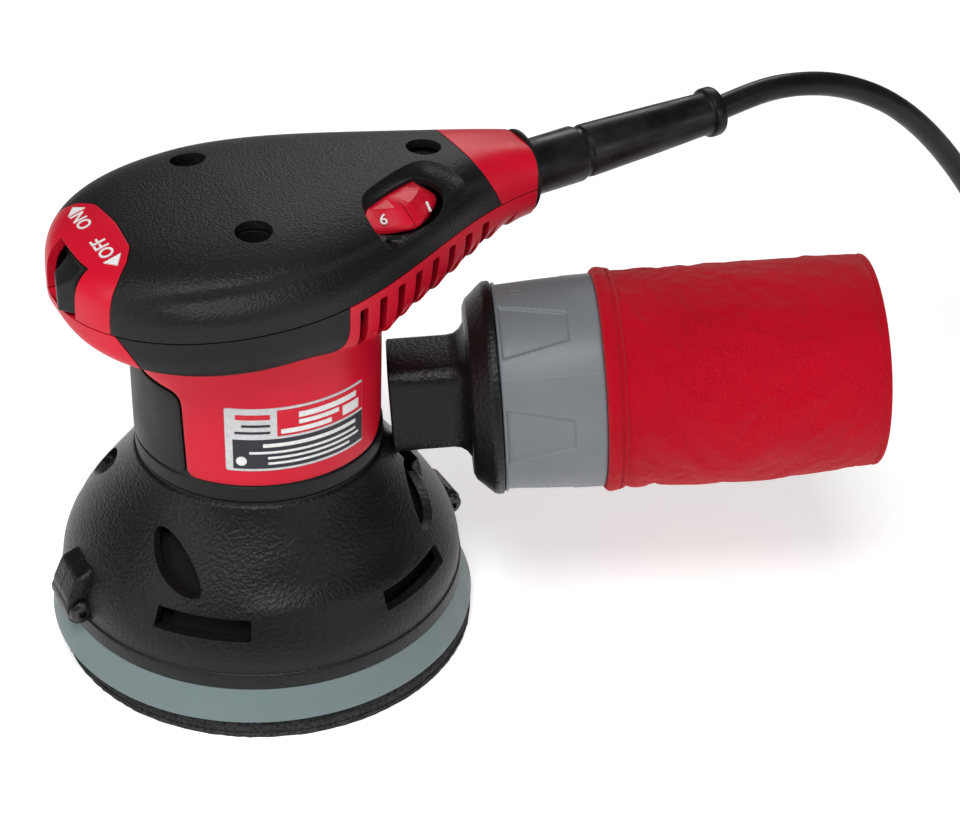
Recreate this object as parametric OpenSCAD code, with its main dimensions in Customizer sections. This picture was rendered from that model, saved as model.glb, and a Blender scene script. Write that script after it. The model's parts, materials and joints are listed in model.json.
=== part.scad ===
// Random-orbit palm sander with a twist-on dust canister and a mains cord.
// +Z is up, +X points to the rear, where the cord leaves, and -Y is the operator's left.
// The origin is on the motor axis, at the pad's working face. Units are millimetres.

/* [Pad] */
// Diameter of the sanding pad
pad_d = 125; // [115:1:128]
// Offset of the pad's own axis from the motor axis (half the orbit diameter)
orbit_r = 1.2; // [0.8:0.1:1.5]
// Number of dust holes in the pad
dust_hole_count = 8; // [6:1:8]
// Diameter of each dust hole
dust_hole_d = 10; // [8:0.5:11]
// Circle on which the dust holes lie
dust_hole_pcd = 65; // [62:0.5:66]

/* [Housing] */
// Outer radius of the motor housing
housing_r = 36; // [35.5:0.1:36.2]
// Height of the seam between the shroud and the motor housing
neck_z = 63; // [62.5:0.1:63.2]
// Wall of the moulded shells
wall = 2.5; // [2:0.1:2.8]
// Outer radius of the shroud at its lower rim
shroud_r = 59.4; // [58.5:0.1:60]

/* [Grip] */
// Half width of the palm grip at its widest
grip_w = 44.5; // [43:0.5:46]
// Height of the top cover over the parting line at its highest
grip_h = 18.9; // [18.6:0.1:20]
// X of the nose tip
grip_front = -57; // [-58:0.5:-56.5]
// X of the flat rear end
grip_rear = 82.8; // [82.5:0.1:83.2]
// Travel of the on-off slider
switch_travel = 6; // [4:0.5:6]

/* [Dust canister] */
// Direction of the canister about the motor axis, in degrees from +X
duct_turn = -25; // [-27:0.5:-23]
// Rise of the canister's axis, in degrees
duct_rise = 4.8; // [4:0.2:5.4]
// Length of the dust bag
bag_len = 80; // [70:1:95]

/* [Cord] */
// Diameter of the mains cord
cord_d = 7.5; // [7:0.1:7.5]

/* [Hidden] */

$fn = 64;
far = 200; // longer than the whole body, for cutting
tiny = 0.01;
gap = 0.3; // clearance between pieces that move on each other

// Colours
red = [0.84, 0.08, 0.20];
bag_red = [0.72, 0.0, 0.12];
black = [0.10, 0.10, 0.10];
rubber = [0.14, 0.14, 0.14];
grey = [0.52, 0.54, 0.56];
skirt_grey = [0.55, 0.60, 0.60];
steel = [0.7, 0.7, 0.72];
copper = [0.75, 0.42, 0.2];
brass = [0.8, 0.66, 0.3];
board_green = [0.1, 0.35, 0.2];

// Levels of the pad stack
pad_r = pad_d / 2;
hook_t = 1.6;
foam_top = 6.2;
plate_top = 10;
flange_top = 14;
pad_screw_r = 10;
pad_screw_count = 3;

// Levels of the rotor
seat_bottom = 17;
bearing_top = 26;
weight_top = 33;
pad_bearing_r = 14;
spindle_r = 6;
shaft_r = 4;
fan_z = 38;
shaft_top = 126;
lower_bearing_z = 52;
upper_bearing_z = 118;
bearing_h = 7;
bearing_r = 11;

// Levels of the housing
rim_z = 16.4;
tab_x = 60; // where the two screwed tabs of the shroud stand
collar_top = 69;
housing_top = 113;
panel_t = 1.2;
core_bottom = 72;
core_top = 98;
brush_z = 111;

// Parting line of the grip: its height on the motor axis and its slope
parting_z = 125;
parting_slope = 0.06;
dial_at = [31.5, -11];
dial_r = 17;
widest_x = -6;
rear_w = 12;
nose_power = 2.1;
crown_power = 3.6;
dome_power = 3.2;
slider_y = [-11.4, -1.8]; // the slider's ends at rest
width_end = 88; // where the narrowing of the grip would end
crown_slope = 3.6; // fall of the crown over crown_len, evenly
crown_droop = 4.3; // and its further fall, nearly all of it at the rear
crown_len = 89;
belly_d = 16;
belly_swell = 9;
belly_lift = 13;
belly_turn_x = 38; // where the underside stops falling and begins to rise
belly_nose_power = 2.4;
louvre_first = 12.4;
louvre_pitch = 7.1;
louvre_count = 8;
louvre_w = 2.9;
screw_spots = [[-9.5, 23], [-9.5, -23], [52, 0]];

// Strain relief axis
relief_x = 92;
relief_z = 130.7;
relief_tilt = 5.24;
relief_len = 60;

// Dust canister, along its own axis from the motor axis
duct_z = 72.2;
duct_start = 37.8;
duct_h = 28;
duct_w = 24;
duct_wall = 2;
foot_z = -20; // the duct's foot reaches down into the shroud
foot_end = 45;
foot_w = 10;
bell_x = 59.5;
bell_end = 69;
bell_r = 31;
spigot_r = 27.7;
spigot_end = 86;
collar_end = 98;
collar_bore = spigot_r + gap;
collar_r = 30.5;
hem_r = 32.3;
bag_end_r = 30.4;

// Cord
cord_r = cord_d / 2;
cord_sides = 10;
coil_x = 356;
coil_r = 41;
coil_rows = 3;
coil_y = -(coil_r + cord_d);
plug_offset = 33.5;
plug_z = coil_rows * cord_d + 9;
// Centre line of the cord from the strain relief to the coil, as [x, z], all at y = 0
route = [
  [151.8, 136.2], [160, 137.9], [168, 139.4], [176, 139.7], [184, 139], [192, 137.6],
  [200, 135.4], [212, 130.6], [225, 123.2], [240, 111], [254, 96.5], [266, 82],
  [277, 67], [288, 51], [298, 37.5], [308, 26], [318, 16.5], [328, 9.5], [338, 5.5], [347, 4]
];

// ---------------------------------------------------------------- helpers

function smooth(t) = let (s = min(max(t, 0), 1)) s * s * (3 - 2 * s);
function signed_pow(v, e) = sign(v) * pow(abs(v), e);
function bezier(p, t) =
  pow(1 - t, 3) * p[0] + 3 * t * pow(1 - t, 2) * p[1] + 3 * t * t * (1 - t) * p[2] + pow(t, 3) * p[3];

module ring(r_out, r_in, z0, z1) {
  translate([0, 0, z0])
    difference() {
      cylinder(r = r_out, h = z1 - z0);
      translate([0, 0, -1]) cylinder(r = r_in, h = z1 - z0 + 2);
    }
}

module ring_arc(r_out, r_in, z0, z1, from, to) {
  rotate([0, 0, from])
    rotate_extrude(angle = to - from)
      translate([r_in, z0]) square([r_out - r_in, z1 - z0]);
}

module block(low, high) {
  translate(low) cube(high - low);
}

module around(count, r, start = 0) {
  for (i = [0 : count - 1])
    rotate([0, 0, start + i * 360 / count]) translate([r, 0, 0]) children();
}

module both_sides() {
  children();
  mirror([0, 1, 0]) children();
}

// A subtree that is cut as one mesh
module meshed() {
  resize([0, 0, 0]) children();
}

// ---------------------------------------------------------------- pad (orbits on the rotor)

module on_pad_axis() {
  translate([orbit_r, 0, 0]) children();
}

module pad_holes(z0, z1) {
  around(dust_hole_count, dust_hole_pcd / 2, 22.5)
    translate([0, 0, z0]) cylinder(d = dust_hole_d, h = z1 - z0, $fn = 32);
}

module pad_screw_holes(z0, z1, r) {
  around(pad_screw_count, pad_screw_r)
    translate([0, 0, z0]) cylinder(r = r, h = z1 - z0, $fn = 24);
}

module hook_face() {
  color(rubber) on_pad_axis() difference() {
    cylinder(r = pad_r, h = hook_t);
    pad_holes(-1, hook_t + 1);
    pad_screw_holes(-1, hook_t + 1, 4.2);
  }
}

module pad_foam() {
  color(black) on_pad_axis() difference() {
    translate([0, 0, hook_t]) cylinder(r1 = pad_r - 0.2, r2 = pad_r - 1.2, h = foam_top - hook_t);
    pad_holes(0, foam_top + 1);
    pad_screw_holes(0, foam_top + 1, 4.2);
  }
}

module pad_plate() {
  color(black) on_pad_axis() difference() {
    union() {
      ring(56, 0.5, foam_top, plate_top);
      ring(52, 49.5, plate_top - tiny, 12.5);
    }
    pad_holes(0, 20);
    pad_screw_holes(0, 20, 2.3);
    pad_screw_holes(foam_top - 1, foam_top + 1.6, 4.2);
  }
}

module pad_screws() {
  color(steel) on_pad_axis() around(pad_screw_count, pad_screw_r) difference() {
    union() {
      translate([0, 0, foam_top - 0.8]) cylinder(r = 3.8, h = 2.4);
      translate([0, 0, foam_top]) cylinder(r = 1.95, h = 7.5);
    }
    translate([0, 0, foam_top - 1]) cylinder(r = 1.7, h = 1.6, $fn = 6);
  }
}

module pad_spindle() {
  color(steel) on_pad_axis() difference() {
    union() {
      translate([0, 0, plate_top]) cylinder(r = 15, h = flange_top - plate_top);
      cylinder_between(spindle_r - 0.03, plate_top + 1, bearing_top + 0.3);
      cylinder_between(8, plate_top + 1, seat_bottom);
    }
    pad_screw_holes(plate_top - 1, flange_top + 1, 2.1);
    cylinder_between(2.5, 18, 30);
  }
}

module cylinder_between(r, z0, z1) {
  translate([0, 0, z0]) cylinder(r = r, h = z1 - z0);
}

module spindle_screw() {
  color(steel) on_pad_axis() difference() {
    union() {
      cylinder_between(2.4, 18.5, bearing_top + 1);
      cylinder_between(7.6, bearing_top + 0.3, bearing_top + 1.6);
      cylinder_between(5, bearing_top + 1.5, bearing_top + 3.6);
    }
    translate([0, 0, bearing_top + 2]) cylinder(r = 2.5, h = 3, $fn = 6);
  }
}

// ---------------------------------------------------------------- rotor

module pad_bearing() {
  color(steel) on_pad_axis() difference() {
    ring(pad_bearing_r, spindle_r, seat_bottom + 0.5, bearing_top);
    for (z = [seat_bottom, bearing_top - 0.4]) ring(12, 8.2, z, z + 0.9);
  }
}

module counterweight() {
  color(steel) difference() {
    union() {
      on_pad_axis() cylinder_between(18, seat_bottom, weight_top);
      cylinder_between(10, weight_top - 1, fan_z);
      ring_arc(29, 15.5, 24, weight_top - 0.5, 110, 250);
    }
    on_pad_axis() cylinder_between(pad_bearing_r, seat_bottom - 1, bearing_top);
    on_pad_axis() cylinder_between(9, bearing_top - 1, bearing_top + 4.5);
    cylinder_between(shaft_r, 31.5, fan_z + 1);
  }
}

module cooling_fan() {
  blades = 10;
  blade_t = 1.6;
  color(black) difference() {
    union() {
      ring(44, shaft_r + 0.5, fan_z, fan_z + 2.5);
      ring(10, shaft_r + 0.5, fan_z + 2, fan_z + 9);
      around(blades, 0) rotate([0, 0, 12])
        block([9.5, -blade_t / 2, fan_z + 2], [36, blade_t / 2, fan_z + 9]);
      around(blades, 0, 18) rotate([0, 0, 12])
        block([31.5, -blade_t / 2, fan_z - 8], [43, blade_t / 2, fan_z + 0.5]);
    }
    cylinder_between(shaft_r + 0.5, fan_z - 10, fan_z + 12);
  }
}

module motor_shaft() {
  color(steel) union() {
    cylinder_between(shaft_r, 31.5, shaft_top);
    difference() {
      cylinder_between(shaft_r + 0.5, fan_z, lower_bearing_z - 1.5);
      cylinder_between(shaft_r - 1, fan_z - 1, lower_bearing_z);
    }
  }
}

module armature_core() {
  slots = 12;
  color(steel) difference() {
    ring(19, shaft_r, core_bottom, core_top);
    around(slots, 18) block([-5, -1.2, core_bottom - 1], [3, 1.2, core_top + 1]);
  }
}

module armature_windings() {
  slots = 12;
  color(copper) {
    ring(17, shaft_r + 1.5, core_bottom - 7, core_bottom);
    ring(16, shaft_r + 1.5, core_top, core_top + 6);
    around(slots, 14.8) block([-1.6, -1.1, core_bottom - tiny], [2.6, 1.1, core_top + tiny]);
  }
}

module commutator() {
  bars = 24;
  color(copper) difference() {
    ring(11, shaft_r, core_top + 7.5, 116);
    around(bars, 11) block([-0.8, -0.25, core_top + 8.5], [1, 0.25, 117]);
  }
}

module ball_bearing(z) {
  difference() {
    ring(bearing_r, shaft_r + 0.03, z, z + bearing_h);
    ring(9.3, 6.2, z - 0.5, z + 0.4);
    ring(9.3, 6.2, z + bearing_h - 0.4, z + bearing_h + 0.5);
  }
}

module lower_bearing() {
  color(steel) ball_bearing(lower_bearing_z);
}

module upper_bearing() {
  color(steel) ball_bearing(upper_bearing_z);
}

// ---------------------------------------------------------------- motor and housing

module bearing_plate() {
  windows = 4;
  color(black) difference() {
    union() {
      cylinder_between(14, lower_bearing_z - 1.6, neck_z - 2.5);
      cylinder_between(housing_r - 1, neck_z - 5.4, neck_z - 2.5);
    }
    cylinder_between(bearing_r, lower_bearing_z, neck_z);
    cylinder_between(shaft_r + 2, 40, neck_z);
    for (i = [0 : windows - 1])
      ring_arc(32, 18, neck_z - 7, neck_z, i * 90 + 12, i * 90 + 78);
  }
}

module upper_bracket() {
  color(black) difference() {
    union() {
      cylinder_between(14, upper_bearing_z - 2, upper_bearing_z + bearing_h);
      block([-6, -housing_r + wall + 0.3, upper_bearing_z - 2],
        [6, housing_r - wall - 0.3, upper_bearing_z + 1]);
      both_sides()
        block([-6, housing_r - wall - 3, housing_top], [6, housing_r - wall - 0.3, upper_bearing_z]);
    }
    cylinder_between(bearing_r, upper_bearing_z, far);
    cylinder_between(shaft_r + 2, 100, far);
  }
}

module stator_core() {
  color(steel) difference() {
    ring(31, 19.8, core_bottom, core_top);
    both_sides() block([-40, 28.5, core_bottom - 1], [40, 40, core_top + 1]);
  }
}

module field_coils() {
  end_turn = 6.6;
  color(copper) for (side = [0, 180]) {
    ring_arc(28, 21, core_bottom - end_turn, core_bottom, side - 55, side + 55);
    ring_arc(28, 21, core_top, core_top + end_turn, side - 55, side + 55);
  }
}

module brush_holders() {
  color(brass) both_sides() difference() {
    block([-5, 13.5, brush_z - 4], [5, 30.4, brush_z + 4]);
    block([-3.3, 10, brush_z - 2.8], [3.3, 29, brush_z + 2.8]);
  }
}

module carbon_brushes() {
  color(black) both_sides() block([-3.2, 11.3, brush_z - 2.7], [3.2, 21, brush_z + 2.7]);
}

module brush_springs() {
  color(steel) both_sides()
    translate([0, 21, brush_z]) rotate([-90, 0, 0]) ring(2.4, 1.4, 0, 8);
}

module motor_housing() {
  color(red) difference() {
    ring(housing_r, housing_r - wall - 0.2, collar_top, housing_top);
    ring_arc(housing_r + 1, housing_r - panel_t, collar_top - 1, housing_top + 1, 146, 214);
    ring_arc(housing_r + 1, housing_r - panel_t, collar_top - 1, housing_top + 1, -28, 28);
    ring_arc(housing_r + 1, housing_r - 0.6, 74, 94, -125, -61);
    both_sides() block([-1.6, 30, housing_top - 5], [1.6, 40, housing_top + 1]);
  }
}

module housing_front_panel() {
  color(rubber) ring_arc(housing_r, housing_r - panel_t, collar_top, housing_top, 146, 214);
}

module housing_rear_panel() {
  color(rubber) ring_arc(housing_r, housing_r - panel_t, collar_top, housing_top, -28, 28);
}

module bottom_collar() {
  color(rubber) ring(housing_r, housing_r - wall - 0.2, neck_z, collar_top);
}

module rating_plate() {
  color(grey) ring_arc(housing_r - 0.1, housing_r - 0.6, 74.2, 93.8, -124.6, -61.4);
}

// ---------------------------------------------------------------- shroud and skirt

function dome_point(t) =
  bezier([[shroud_r, 24], [shroud_r - 0.9, 38], [housing_r + 6, 50], [housing_r, neck_z]], t);

module shroud_section() {
  steps = 12;
  outer = [for (i = [0 : steps]) dome_point(i / steps)];
  inner = [for (i = [steps - 1 : -1 : 0]) dome_point(i / steps) - [wall, 0.4]];
  polygon(concat(
    [[shroud_r - wall, rim_z], [shroud_r + 0.5, rim_z]], outer,
    [[housing_r - wall - 0.2, neck_z], [housing_r - wall - 0.2, neck_z - wall],
      [housing_r + 0.6, neck_z - wall]], inner));
}

// A slot with pointed ends, as long as twice half_len, seen along +X
module lens(half_len, half_w) {
  r = (half_len * half_len + half_w * half_w) / (2 * half_w);
  rotate([0, 90, 0]) intersection() {
    translate([0, r - half_w, 0]) cylinder(r = r, h = 30);
    translate([0, half_w - r, 0]) cylinder(r = r, h = 30);
  }
}

module shroud_vents() {
  for (v = [[-144.5, 1], [-37, -1]])
    rotate([0, 0, v[0]]) translate([36, 0, 44]) rotate([0, -35, 0]) rotate([v[1] * 58, 0, 0]) lens(10.5, 4.8);
  for (a = [-145, -75])
    ring_arc(70, 45, 31, 36.6, a, a + 28);
}

module shroud_tab(x) {
  boss_z = 23;
  intersection() {
    translate([x, 0, boss_z]) rotate([90, 0, 0]) cylinder(r = 5, h = 7.5);
    block([-80, -20, rim_z], [80, 0, 60]);
  }
  inner = x - sign(x) * 5;
  outer = x + sign(x) * 1.5;
  block([min(inner, outer), -5, boss_z], [max(inner, outer), 0, 33]);
}

module shroud_half() {
  difference() {
    union() {
      rotate([0, 0, 180]) rotate_extrude(angle = 180) shroud_section();
      difference() {
        for (x = [-tab_x, tab_x]) shroud_tab(x);
        cylinder_between(shroud_r - 1.2, 0, 60);
      }
    }
    shroud_vents();
    for (x = [-tab_x, tab_x]) {
      translate([x, 1, 23]) rotate([90, 0, 0]) cylinder(r = 1.9, h = 30);
      translate([x, -7.5, 23]) rotate([90, 0, 0]) cylinder(r = 3.5, h = 3);
    }
  }
}

module shroud_left() {
  color(black) difference() {
    shroud_half();
    in_duct() block([duct_start - 0.2, -0.2, -30], [foot_end + 0.2, foot_w + 0.2, 0]);
  }
}

module shroud_right() {
  color(black) mirror([0, 1, 0]) shroud_half();
}

module shroud_screws() {
  color(steel) for (x = [-tab_x, tab_x]) difference() {
    translate([x, 0, 23]) rotate([90, 0, 0]) union() {
      translate([0, 0, -7]) cylinder(r = 1.8, h = 15);
      translate([0, 0, 7.5]) cylinder(r = 3.4, h = 2);
    }
    translate([x, -8.3, 23]) rotate([90, 0, 0]) cylinder(r = 1.6, h = 3, $fn = 6);
  }
}

module dust_skirt() {
  low_z = 7;
  thick = 2;
  color(skirt_grey) rotate_extrude() polygon([
    [shroud_r + 0.5, rim_z], [pad_r + 1.3, low_z], [pad_r + 1.3 - thick, low_z],
    [shroud_r - thick - 0.2, rim_z - 0.3], [shroud_r - wall - 2, rim_z + 4],
    [shroud_r - wall, rim_z + 4], [shroud_r - wall, rim_z]
  ]);
}

// ---------------------------------------------------------------- dust duct and canister

module in_duct() {
  translate([0, 0, duct_z]) rotate([0, 0, duct_turn]) rotate([0, -duct_rise, 0]) children();
}

module along_x(points) {
  rotate([0, 90, 0]) rotate_extrude() polygon(points);
}

// Rounded rectangle on the YZ plane, swept along +X
module duct_bar(x0, x1, w, h, r) {
  translate([x0, 0, 0]) rotate([90, 0, 90]) linear_extrude(x1 - x0) rounded_rect(w, h, r);
}

module rounded_rect(w, h, r) {
  square([w - 2 * r, h], center = true);
  square([w, h - 2 * r], center = true);
  for (sy = [-1, 1], sz = [-1, 1])
    translate([sy * (w / 2 - r), sz * (h / 2 - r)]) circle(r = r);
}

module dust_duct() {
  color(black) in_duct() difference() {
    union() {
      duct_bar(duct_start, bell_x + 3, duct_w, duct_h, 5);
      along_x([[0, bell_x], [21, bell_x], [25.5, bell_x + 1.5], [bell_r, bell_x + 6.5], [bell_r, bell_end],
        [spigot_r, bell_end], [spigot_r, spigot_end], [0, spigot_end]]);
      block([duct_start, 0, foot_z], [foot_end, foot_w, 0]);
    }
    duct_bar(duct_start + duct_wall, bell_x + 4, duct_w - 2 * duct_wall, duct_h - 2 * duct_wall, 3.5);
    along_x([[0, bell_x + 2], [19, bell_x + 2], [spigot_r - 2.2, bell_x + 7],
      [spigot_r - 2.2, spigot_end + 1], [0, spigot_end + 1]]);
    block([duct_start + duct_wall, duct_wall, foot_z - 1], [foot_end - duct_wall, foot_w - duct_wall, 0]);
  }
}

module canister_seal() {
  color(rubber) in_duct()
    along_x([[spigot_r + 0.05, 74.5], [spigot_r + 1.3, 74.5],
      [spigot_r + 1.3, 77.5], [spigot_r + 0.05, 77.5]]);
}

module canister_collar() {
  seat_r = 29.4;
  color(grey) in_duct() along_x([
    [collar_bore, bell_end + gap], [collar_r, bell_end + gap], [collar_r + 0.5, collar_end],
    [seat_r, collar_end], [seat_r, collar_end + 10], [seat_r - 2.2, collar_end + 10], [seat_r - 2.2, 90],
    [collar_bore, 90], [collar_bore, 77.8], [spigot_r + 1.35, 77.8], [spigot_r + 1.35, 74.2],
    [collar_bore, 74.2]
  ]);
}

module bag_frame() {
  ribs = 6;
  start = collar_end + 10;
  end = collar_end + bag_len - 4;
  color(grey) in_duct() union() {
    along_x([[26, start], [28.6, start], [28.6, start + 4], [26, start + 4]]);
    along_x([[24, end - 3], [28, end - 3], [28, end], [24, end]]);
    for (i = [0 : ribs - 1]) rotate([i * 360 / ribs, 0, 0])
      block([start + 1, 25.9, -2], [end - 0.5, 27.7, 2]);
  }
}

module dust_bag() {
  cloth = 1.2;
  end = collar_end + bag_len;
  color(bag_red) in_duct() along_x([
    [hem_r - 2.4, collar_end + 0.2], [hem_r, collar_end + 0.2], [hem_r, collar_end + 5],
    [hem_r - 0.4, collar_end + 8], [hem_r - 0.5, end - 40], [bag_end_r, end - 3], [bag_end_r - 2.5, end],
    [0, end + 2.4], [0, end + 2.4 - cloth], [bag_end_r - 3, end - cloth],
    [bag_end_r - cloth, end - 3.5], [hem_r - 0.5 - cloth, end - 40], [hem_r - 2.4, collar_end + 12]
  ]);
}

// ---------------------------------------------------------------- grip shells

function rear_share(x) = (1 + cos(180 * min(max((x - widest_x) / (width_end - widest_x), 0), 1))) / 2;
function nose_share(x, inset) = min(max((widest_x - x) / (widest_x - grip_front - inset), 0), 1);
function half_width(x, inset) =
  x < widest_x ? (grip_w - inset) * pow(1 - pow(nose_share(x, inset), nose_power), 1 / nose_power)
    : rear_w + (grip_w - rear_w) * rear_share(x) - inset;
function crown(x, inset) =
  let (u = max(x - widest_x, 0) / crown_len)
  x < widest_x ? (grip_h - inset) * pow(1 - pow(nose_share(x, inset), crown_power), 1 / crown_power)
    : grip_h - crown_slope * u - crown_droop * pow(u, 5) - inset;
function belly(x, inset) =
  let (p = belly_nose_power)
  x < widest_x ? (belly_d - inset) * pow(1 - pow(nose_share(x, inset), p), 1 / p)
    : belly_d + belly_swell * smooth((x - widest_x) / 38)
      - belly_lift * smooth((x - belly_turn_x) / 46) - inset;
function belly_power(x) = 5 - 2.5 * smooth((x - 5) / 35);
function parting_at(x) = parting_z + parting_slope * x;

function grip_section(x, inset, sides) = [
  for (i = [0 : sides - 1])
    let (
      a = 360 * i / sides,
      up = a <= 180,
      e = 2 / (up ? dome_power : belly_power(x)),
      y = half_width(x, inset) * signed_pow(cos(a), e),
      z = (up ? crown(x, inset) : belly(x, inset)) * signed_pow(sin(a), e)
    )
    [x, y, parting_at(x) + z]
];

// The grip's outer surface moved inwards by inset, closed at both ends
module grip_solid(inset, end_inset, stations, sides) {
  x_front = grip_front + inset + 0.05;
  x_rear = grip_rear - end_inset;
  half = floor(stations / 2);
  xs = concat(
    [for (i = [0 : half - 1]) widest_x - (widest_x - x_front) * cos(90 * i / half)],
    [for (i = [0 : half]) widest_x + (x_rear - widest_x) * i / half]);
  rings = [for (x = xs) grip_section(x, inset, sides)];
  last = len(xs) - 1;
  points = [for (r = rings) each r];
  skin = [
    for (i = [0 : last - 1], j = [0 : sides - 1])
      let (k = (j + 1) % sides)
      [i * sides + j, (i + 1) * sides + j, (i + 1) * sides + k, i * sides + k]
  ];
  caps = [[for (j = [0 : sides - 1]) j], [for (j = [sides - 1 : -1 : 0]) last * sides + j]];
  polyhedron(points, concat(skin, caps), convexity = 6);
}

module above_parting(offset_z = 0) {
  translate([0, 0, parting_z + offset_z]) rotate([0, -atan(parting_slope), 0])
    translate([-far / 2, -far / 2, 0]) cube([far, far, far / 2]);
}

module grip_shell() {
  difference() {
    grip_solid(0, 0, 22, 32);
    grip_solid(wall, 2, 14, 24);
  }
}

// Plan outline of the red inlay on the nose
module nose_outline(grow) {
  half = [[-50, 23.7 + grow], [-46.8, 21.9 + grow], [-42.6 + grow, 18.1 + grow], [-39.6 + grow, 13 + grow]];
  translate([0, 0, 100]) linear_extrude(60)
    polygon(concat([[-80, 23.7 + grow]], half, [[-38.7 + grow, 0]],
      [for (i = [3 : -1 : 0]) [half[i][0], -half[i][1]]], [[-80, -23.7 - grow]]));
}

// The red cap's front edge runs backwards from the crown to the parting line
module rear_cap_space(grow) {
  translate([0, far / 2, 0]) rotate([90, 0, 0]) linear_extrude(far)
    polygon([[57 - grow, 160], [61 - grow, 143.7], [62.3 - grow, 141.6], [68 - grow, 132],
      [69.9 - grow, 128.5], [120, 128.5], [120, 160]]);
}

module screw_wells(r) {
  for (p = screw_spots)
    translate([p[0], p[1], parting_at(p[0]) - 1]) cylinder(r = r, h = 40, $fn = 24);
}

// Room for the slider at both ends of its travel
module slider_slot() {
  block([-62, slider_y[0] - 0.6, 119], [-48, slider_y[1] + switch_travel + 3.3, 133.6]);
}

module relief_hole() {
  along_relief(-22) cylinder(r = 8.6, h = 38, $fn = 40);
}

// The wheel turns in a pocket under the cover, and its near part shows through the opening
module dial_opening() {
  translate([dial_at[0], dial_at[1], 130]) cylinder(r = dial_r + 0.6, h = 11.2, $fn = 48);
  translate([0, 0, 130]) linear_extrude(40)
    polygon([[24.5, -19.2], [43.5, -11], [47.5, -16], [45.5, -22], [36, -28], [22, -32], [21.5, -26]]);
}

module top_cover() {
  color(black) meshed() difference() {
    intersection() {
      grip_shell();
      above_parting();
    }
    nose_outline(0.1);
    rear_cap_space(0.1);
    screw_wells(5);
    dial_opening();
  }
}

module nose_inlay() {
  color(red) meshed() difference() {
    intersection() {
      grip_shell();
      above_parting();
      nose_outline(0);
    }
    slider_slot();
  }
}

module rear_cap() {
  color(red) meshed() difference() {
    intersection() {
      grip_shell();
      above_parting();
      rear_cap_space(0);
    }
    relief_hole();
  }
}

module handle_base() {
  color(red) meshed() difference() {
    grip_shell();
    above_parting(-0.05);
    cylinder_between(housing_r + 0.1, 80, 118);
    for (i = [0 : louvre_count - 1])
      let (x = louvre_first + i * louvre_pitch)
        translate([x, 0, parting_at(x)]) block([0, -60, -15], [louvre_w, 60, -3]);
    band_space(0.05);
    slider_slot();
    relief_hole();
  }
}

// The space outside the grip's inner skin that the rubber band fills
module band_space(grow) {
  difference() {
    translate([0, 60, 0]) rotate([90, 0, 0]) linear_extrude(120)
      polygon([[-43.5 - grow, 111.5], [9 + grow, 111.5], [9 + grow, 130], [-54.6 - grow, 130]]);
    grip_solid(panel_t + grow, 2, 22, 32);
  }
}

module grip_band() {
  color(rubber) meshed() difference() {
    intersection() {
      grip_solid(0, 0, 22, 32);
      band_space(0);
    }
    above_parting(-0.05);
  }
}

module cover_screws() {
  color(steel) for (p = screw_spots)
    translate([p[0], p[1], parting_at(p[0]) - 6]) difference() {
      union() {
        cylinder(r = 1.8, h = 12);
        translate([0, 0, 10.5]) cylinder(r = 3.6, h = 2.6);
      }
      translate([0, 0, 12]) cylinder(r = 1.6, h = 3, $fn = 6);
    }
}

// ---------------------------------------------------------------- controls

module switch_slider() {
  // A wedge with an upright ridge, on a plate that stays behind the slot
  color(black) union() {
    translate([0, 0, 120.5]) linear_extrude(12)
      polygon([[-50, -11.4], [-54.8, -11.4], [-58.4, -7.4], [-57, -1.8], [-50, -1.8]]);
  }
}

module switch_link() {
  color(black) block([-50, -9, 122], [-45.2, -4.5, 126]);
}

module switch_body() {
  color(rubber) block([-44.5, -11, 118], [-22, 11, 130]);
}

module speed_dial() {
  color(red) translate([dial_at[0], dial_at[1], 0]) union() {
    translate([0, 0, 134.8]) cylinder(r1 = dial_r, r2 = dial_r - 0.6, h = 2.4);
    translate([0, 0, 137.2]) cylinder(r1 = dial_r - 0.6, r2 = dial_r - 4, h = 3.4);
    cylinder_between(2.95, 128.5, 136);
  }
}

module speed_pot() {
  color(black) difference() {
    translate([dial_at[0], dial_at[1], 0]) block([-6.5, -6.5, 127.6], [6.5, 6.5, 134.2]);
    translate([dial_at[0], dial_at[1], 120]) cylinder(r = 3, h = 20);
  }
}

module speed_board() {
  color(board_green) block([20, -20, 126], [48, 4, 127.6]);
}

module cord_clamp() {
  color(black) difference() {
    block([64, -8.5, 124], [71, 8.5, 128]);
    along_relief(-40) cylinder(r = cord_r + 0.05, h = 40);
    both_sides() translate([67.5, 6.3, 120]) cylinder(r = 1.2, h = 12);
  }
}

module along_relief(s) {
  translate([relief_x, 0, relief_z]) rotate([0, 90 - relief_tilt, 0]) translate([0, 0, s]) children();
}

module strain_relief() {
  bore = cord_r + 0.05;
  color(rubber) along_relief(0) rotate_extrude() polygon([
    [bore, -17], [9.2, -17], [9.2, -14.6], [8.4, -14.6], [8.4, 10.6], [8.1, 11], [7.1, 11.4], [7.1, 12.8],
    [7.9, 13.4], [7.2, 38], [6.4, relief_len - 5], [7.5, relief_len - 4], [7.5, relief_len - 0.6],
    [6.9, relief_len], [bore, relief_len]
  ]);
}

module relief_ring() {
  color(black) difference() {
    translate([grip_rear, 0, relief_z - 0.4]) rotate([0, 90, 0]) cylinder(r = 12, h = 1.6);
    relief_hole();
  }
}

module inner_cord() {
  color(rubber) along_relief(-36) cylinder(r = cord_r, h = relief_len + 36);
}

module switch_leads() {
  color(copper) both_sides() translate([-21.9, 3, 129]) rotate([0, 90, 0]) cylinder(r = 0.9, h = 77);
}

// ---------------------------------------------------------------- cord, coil and plug

function route_dir(i) =
  let (a = route[max(i - 1, 0)], b = route[min(i + 1, len(route) - 1)])
  i == 0 ? [cos(relief_tilt), sin(relief_tilt)] : (b - a) / norm(b - a);

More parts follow.
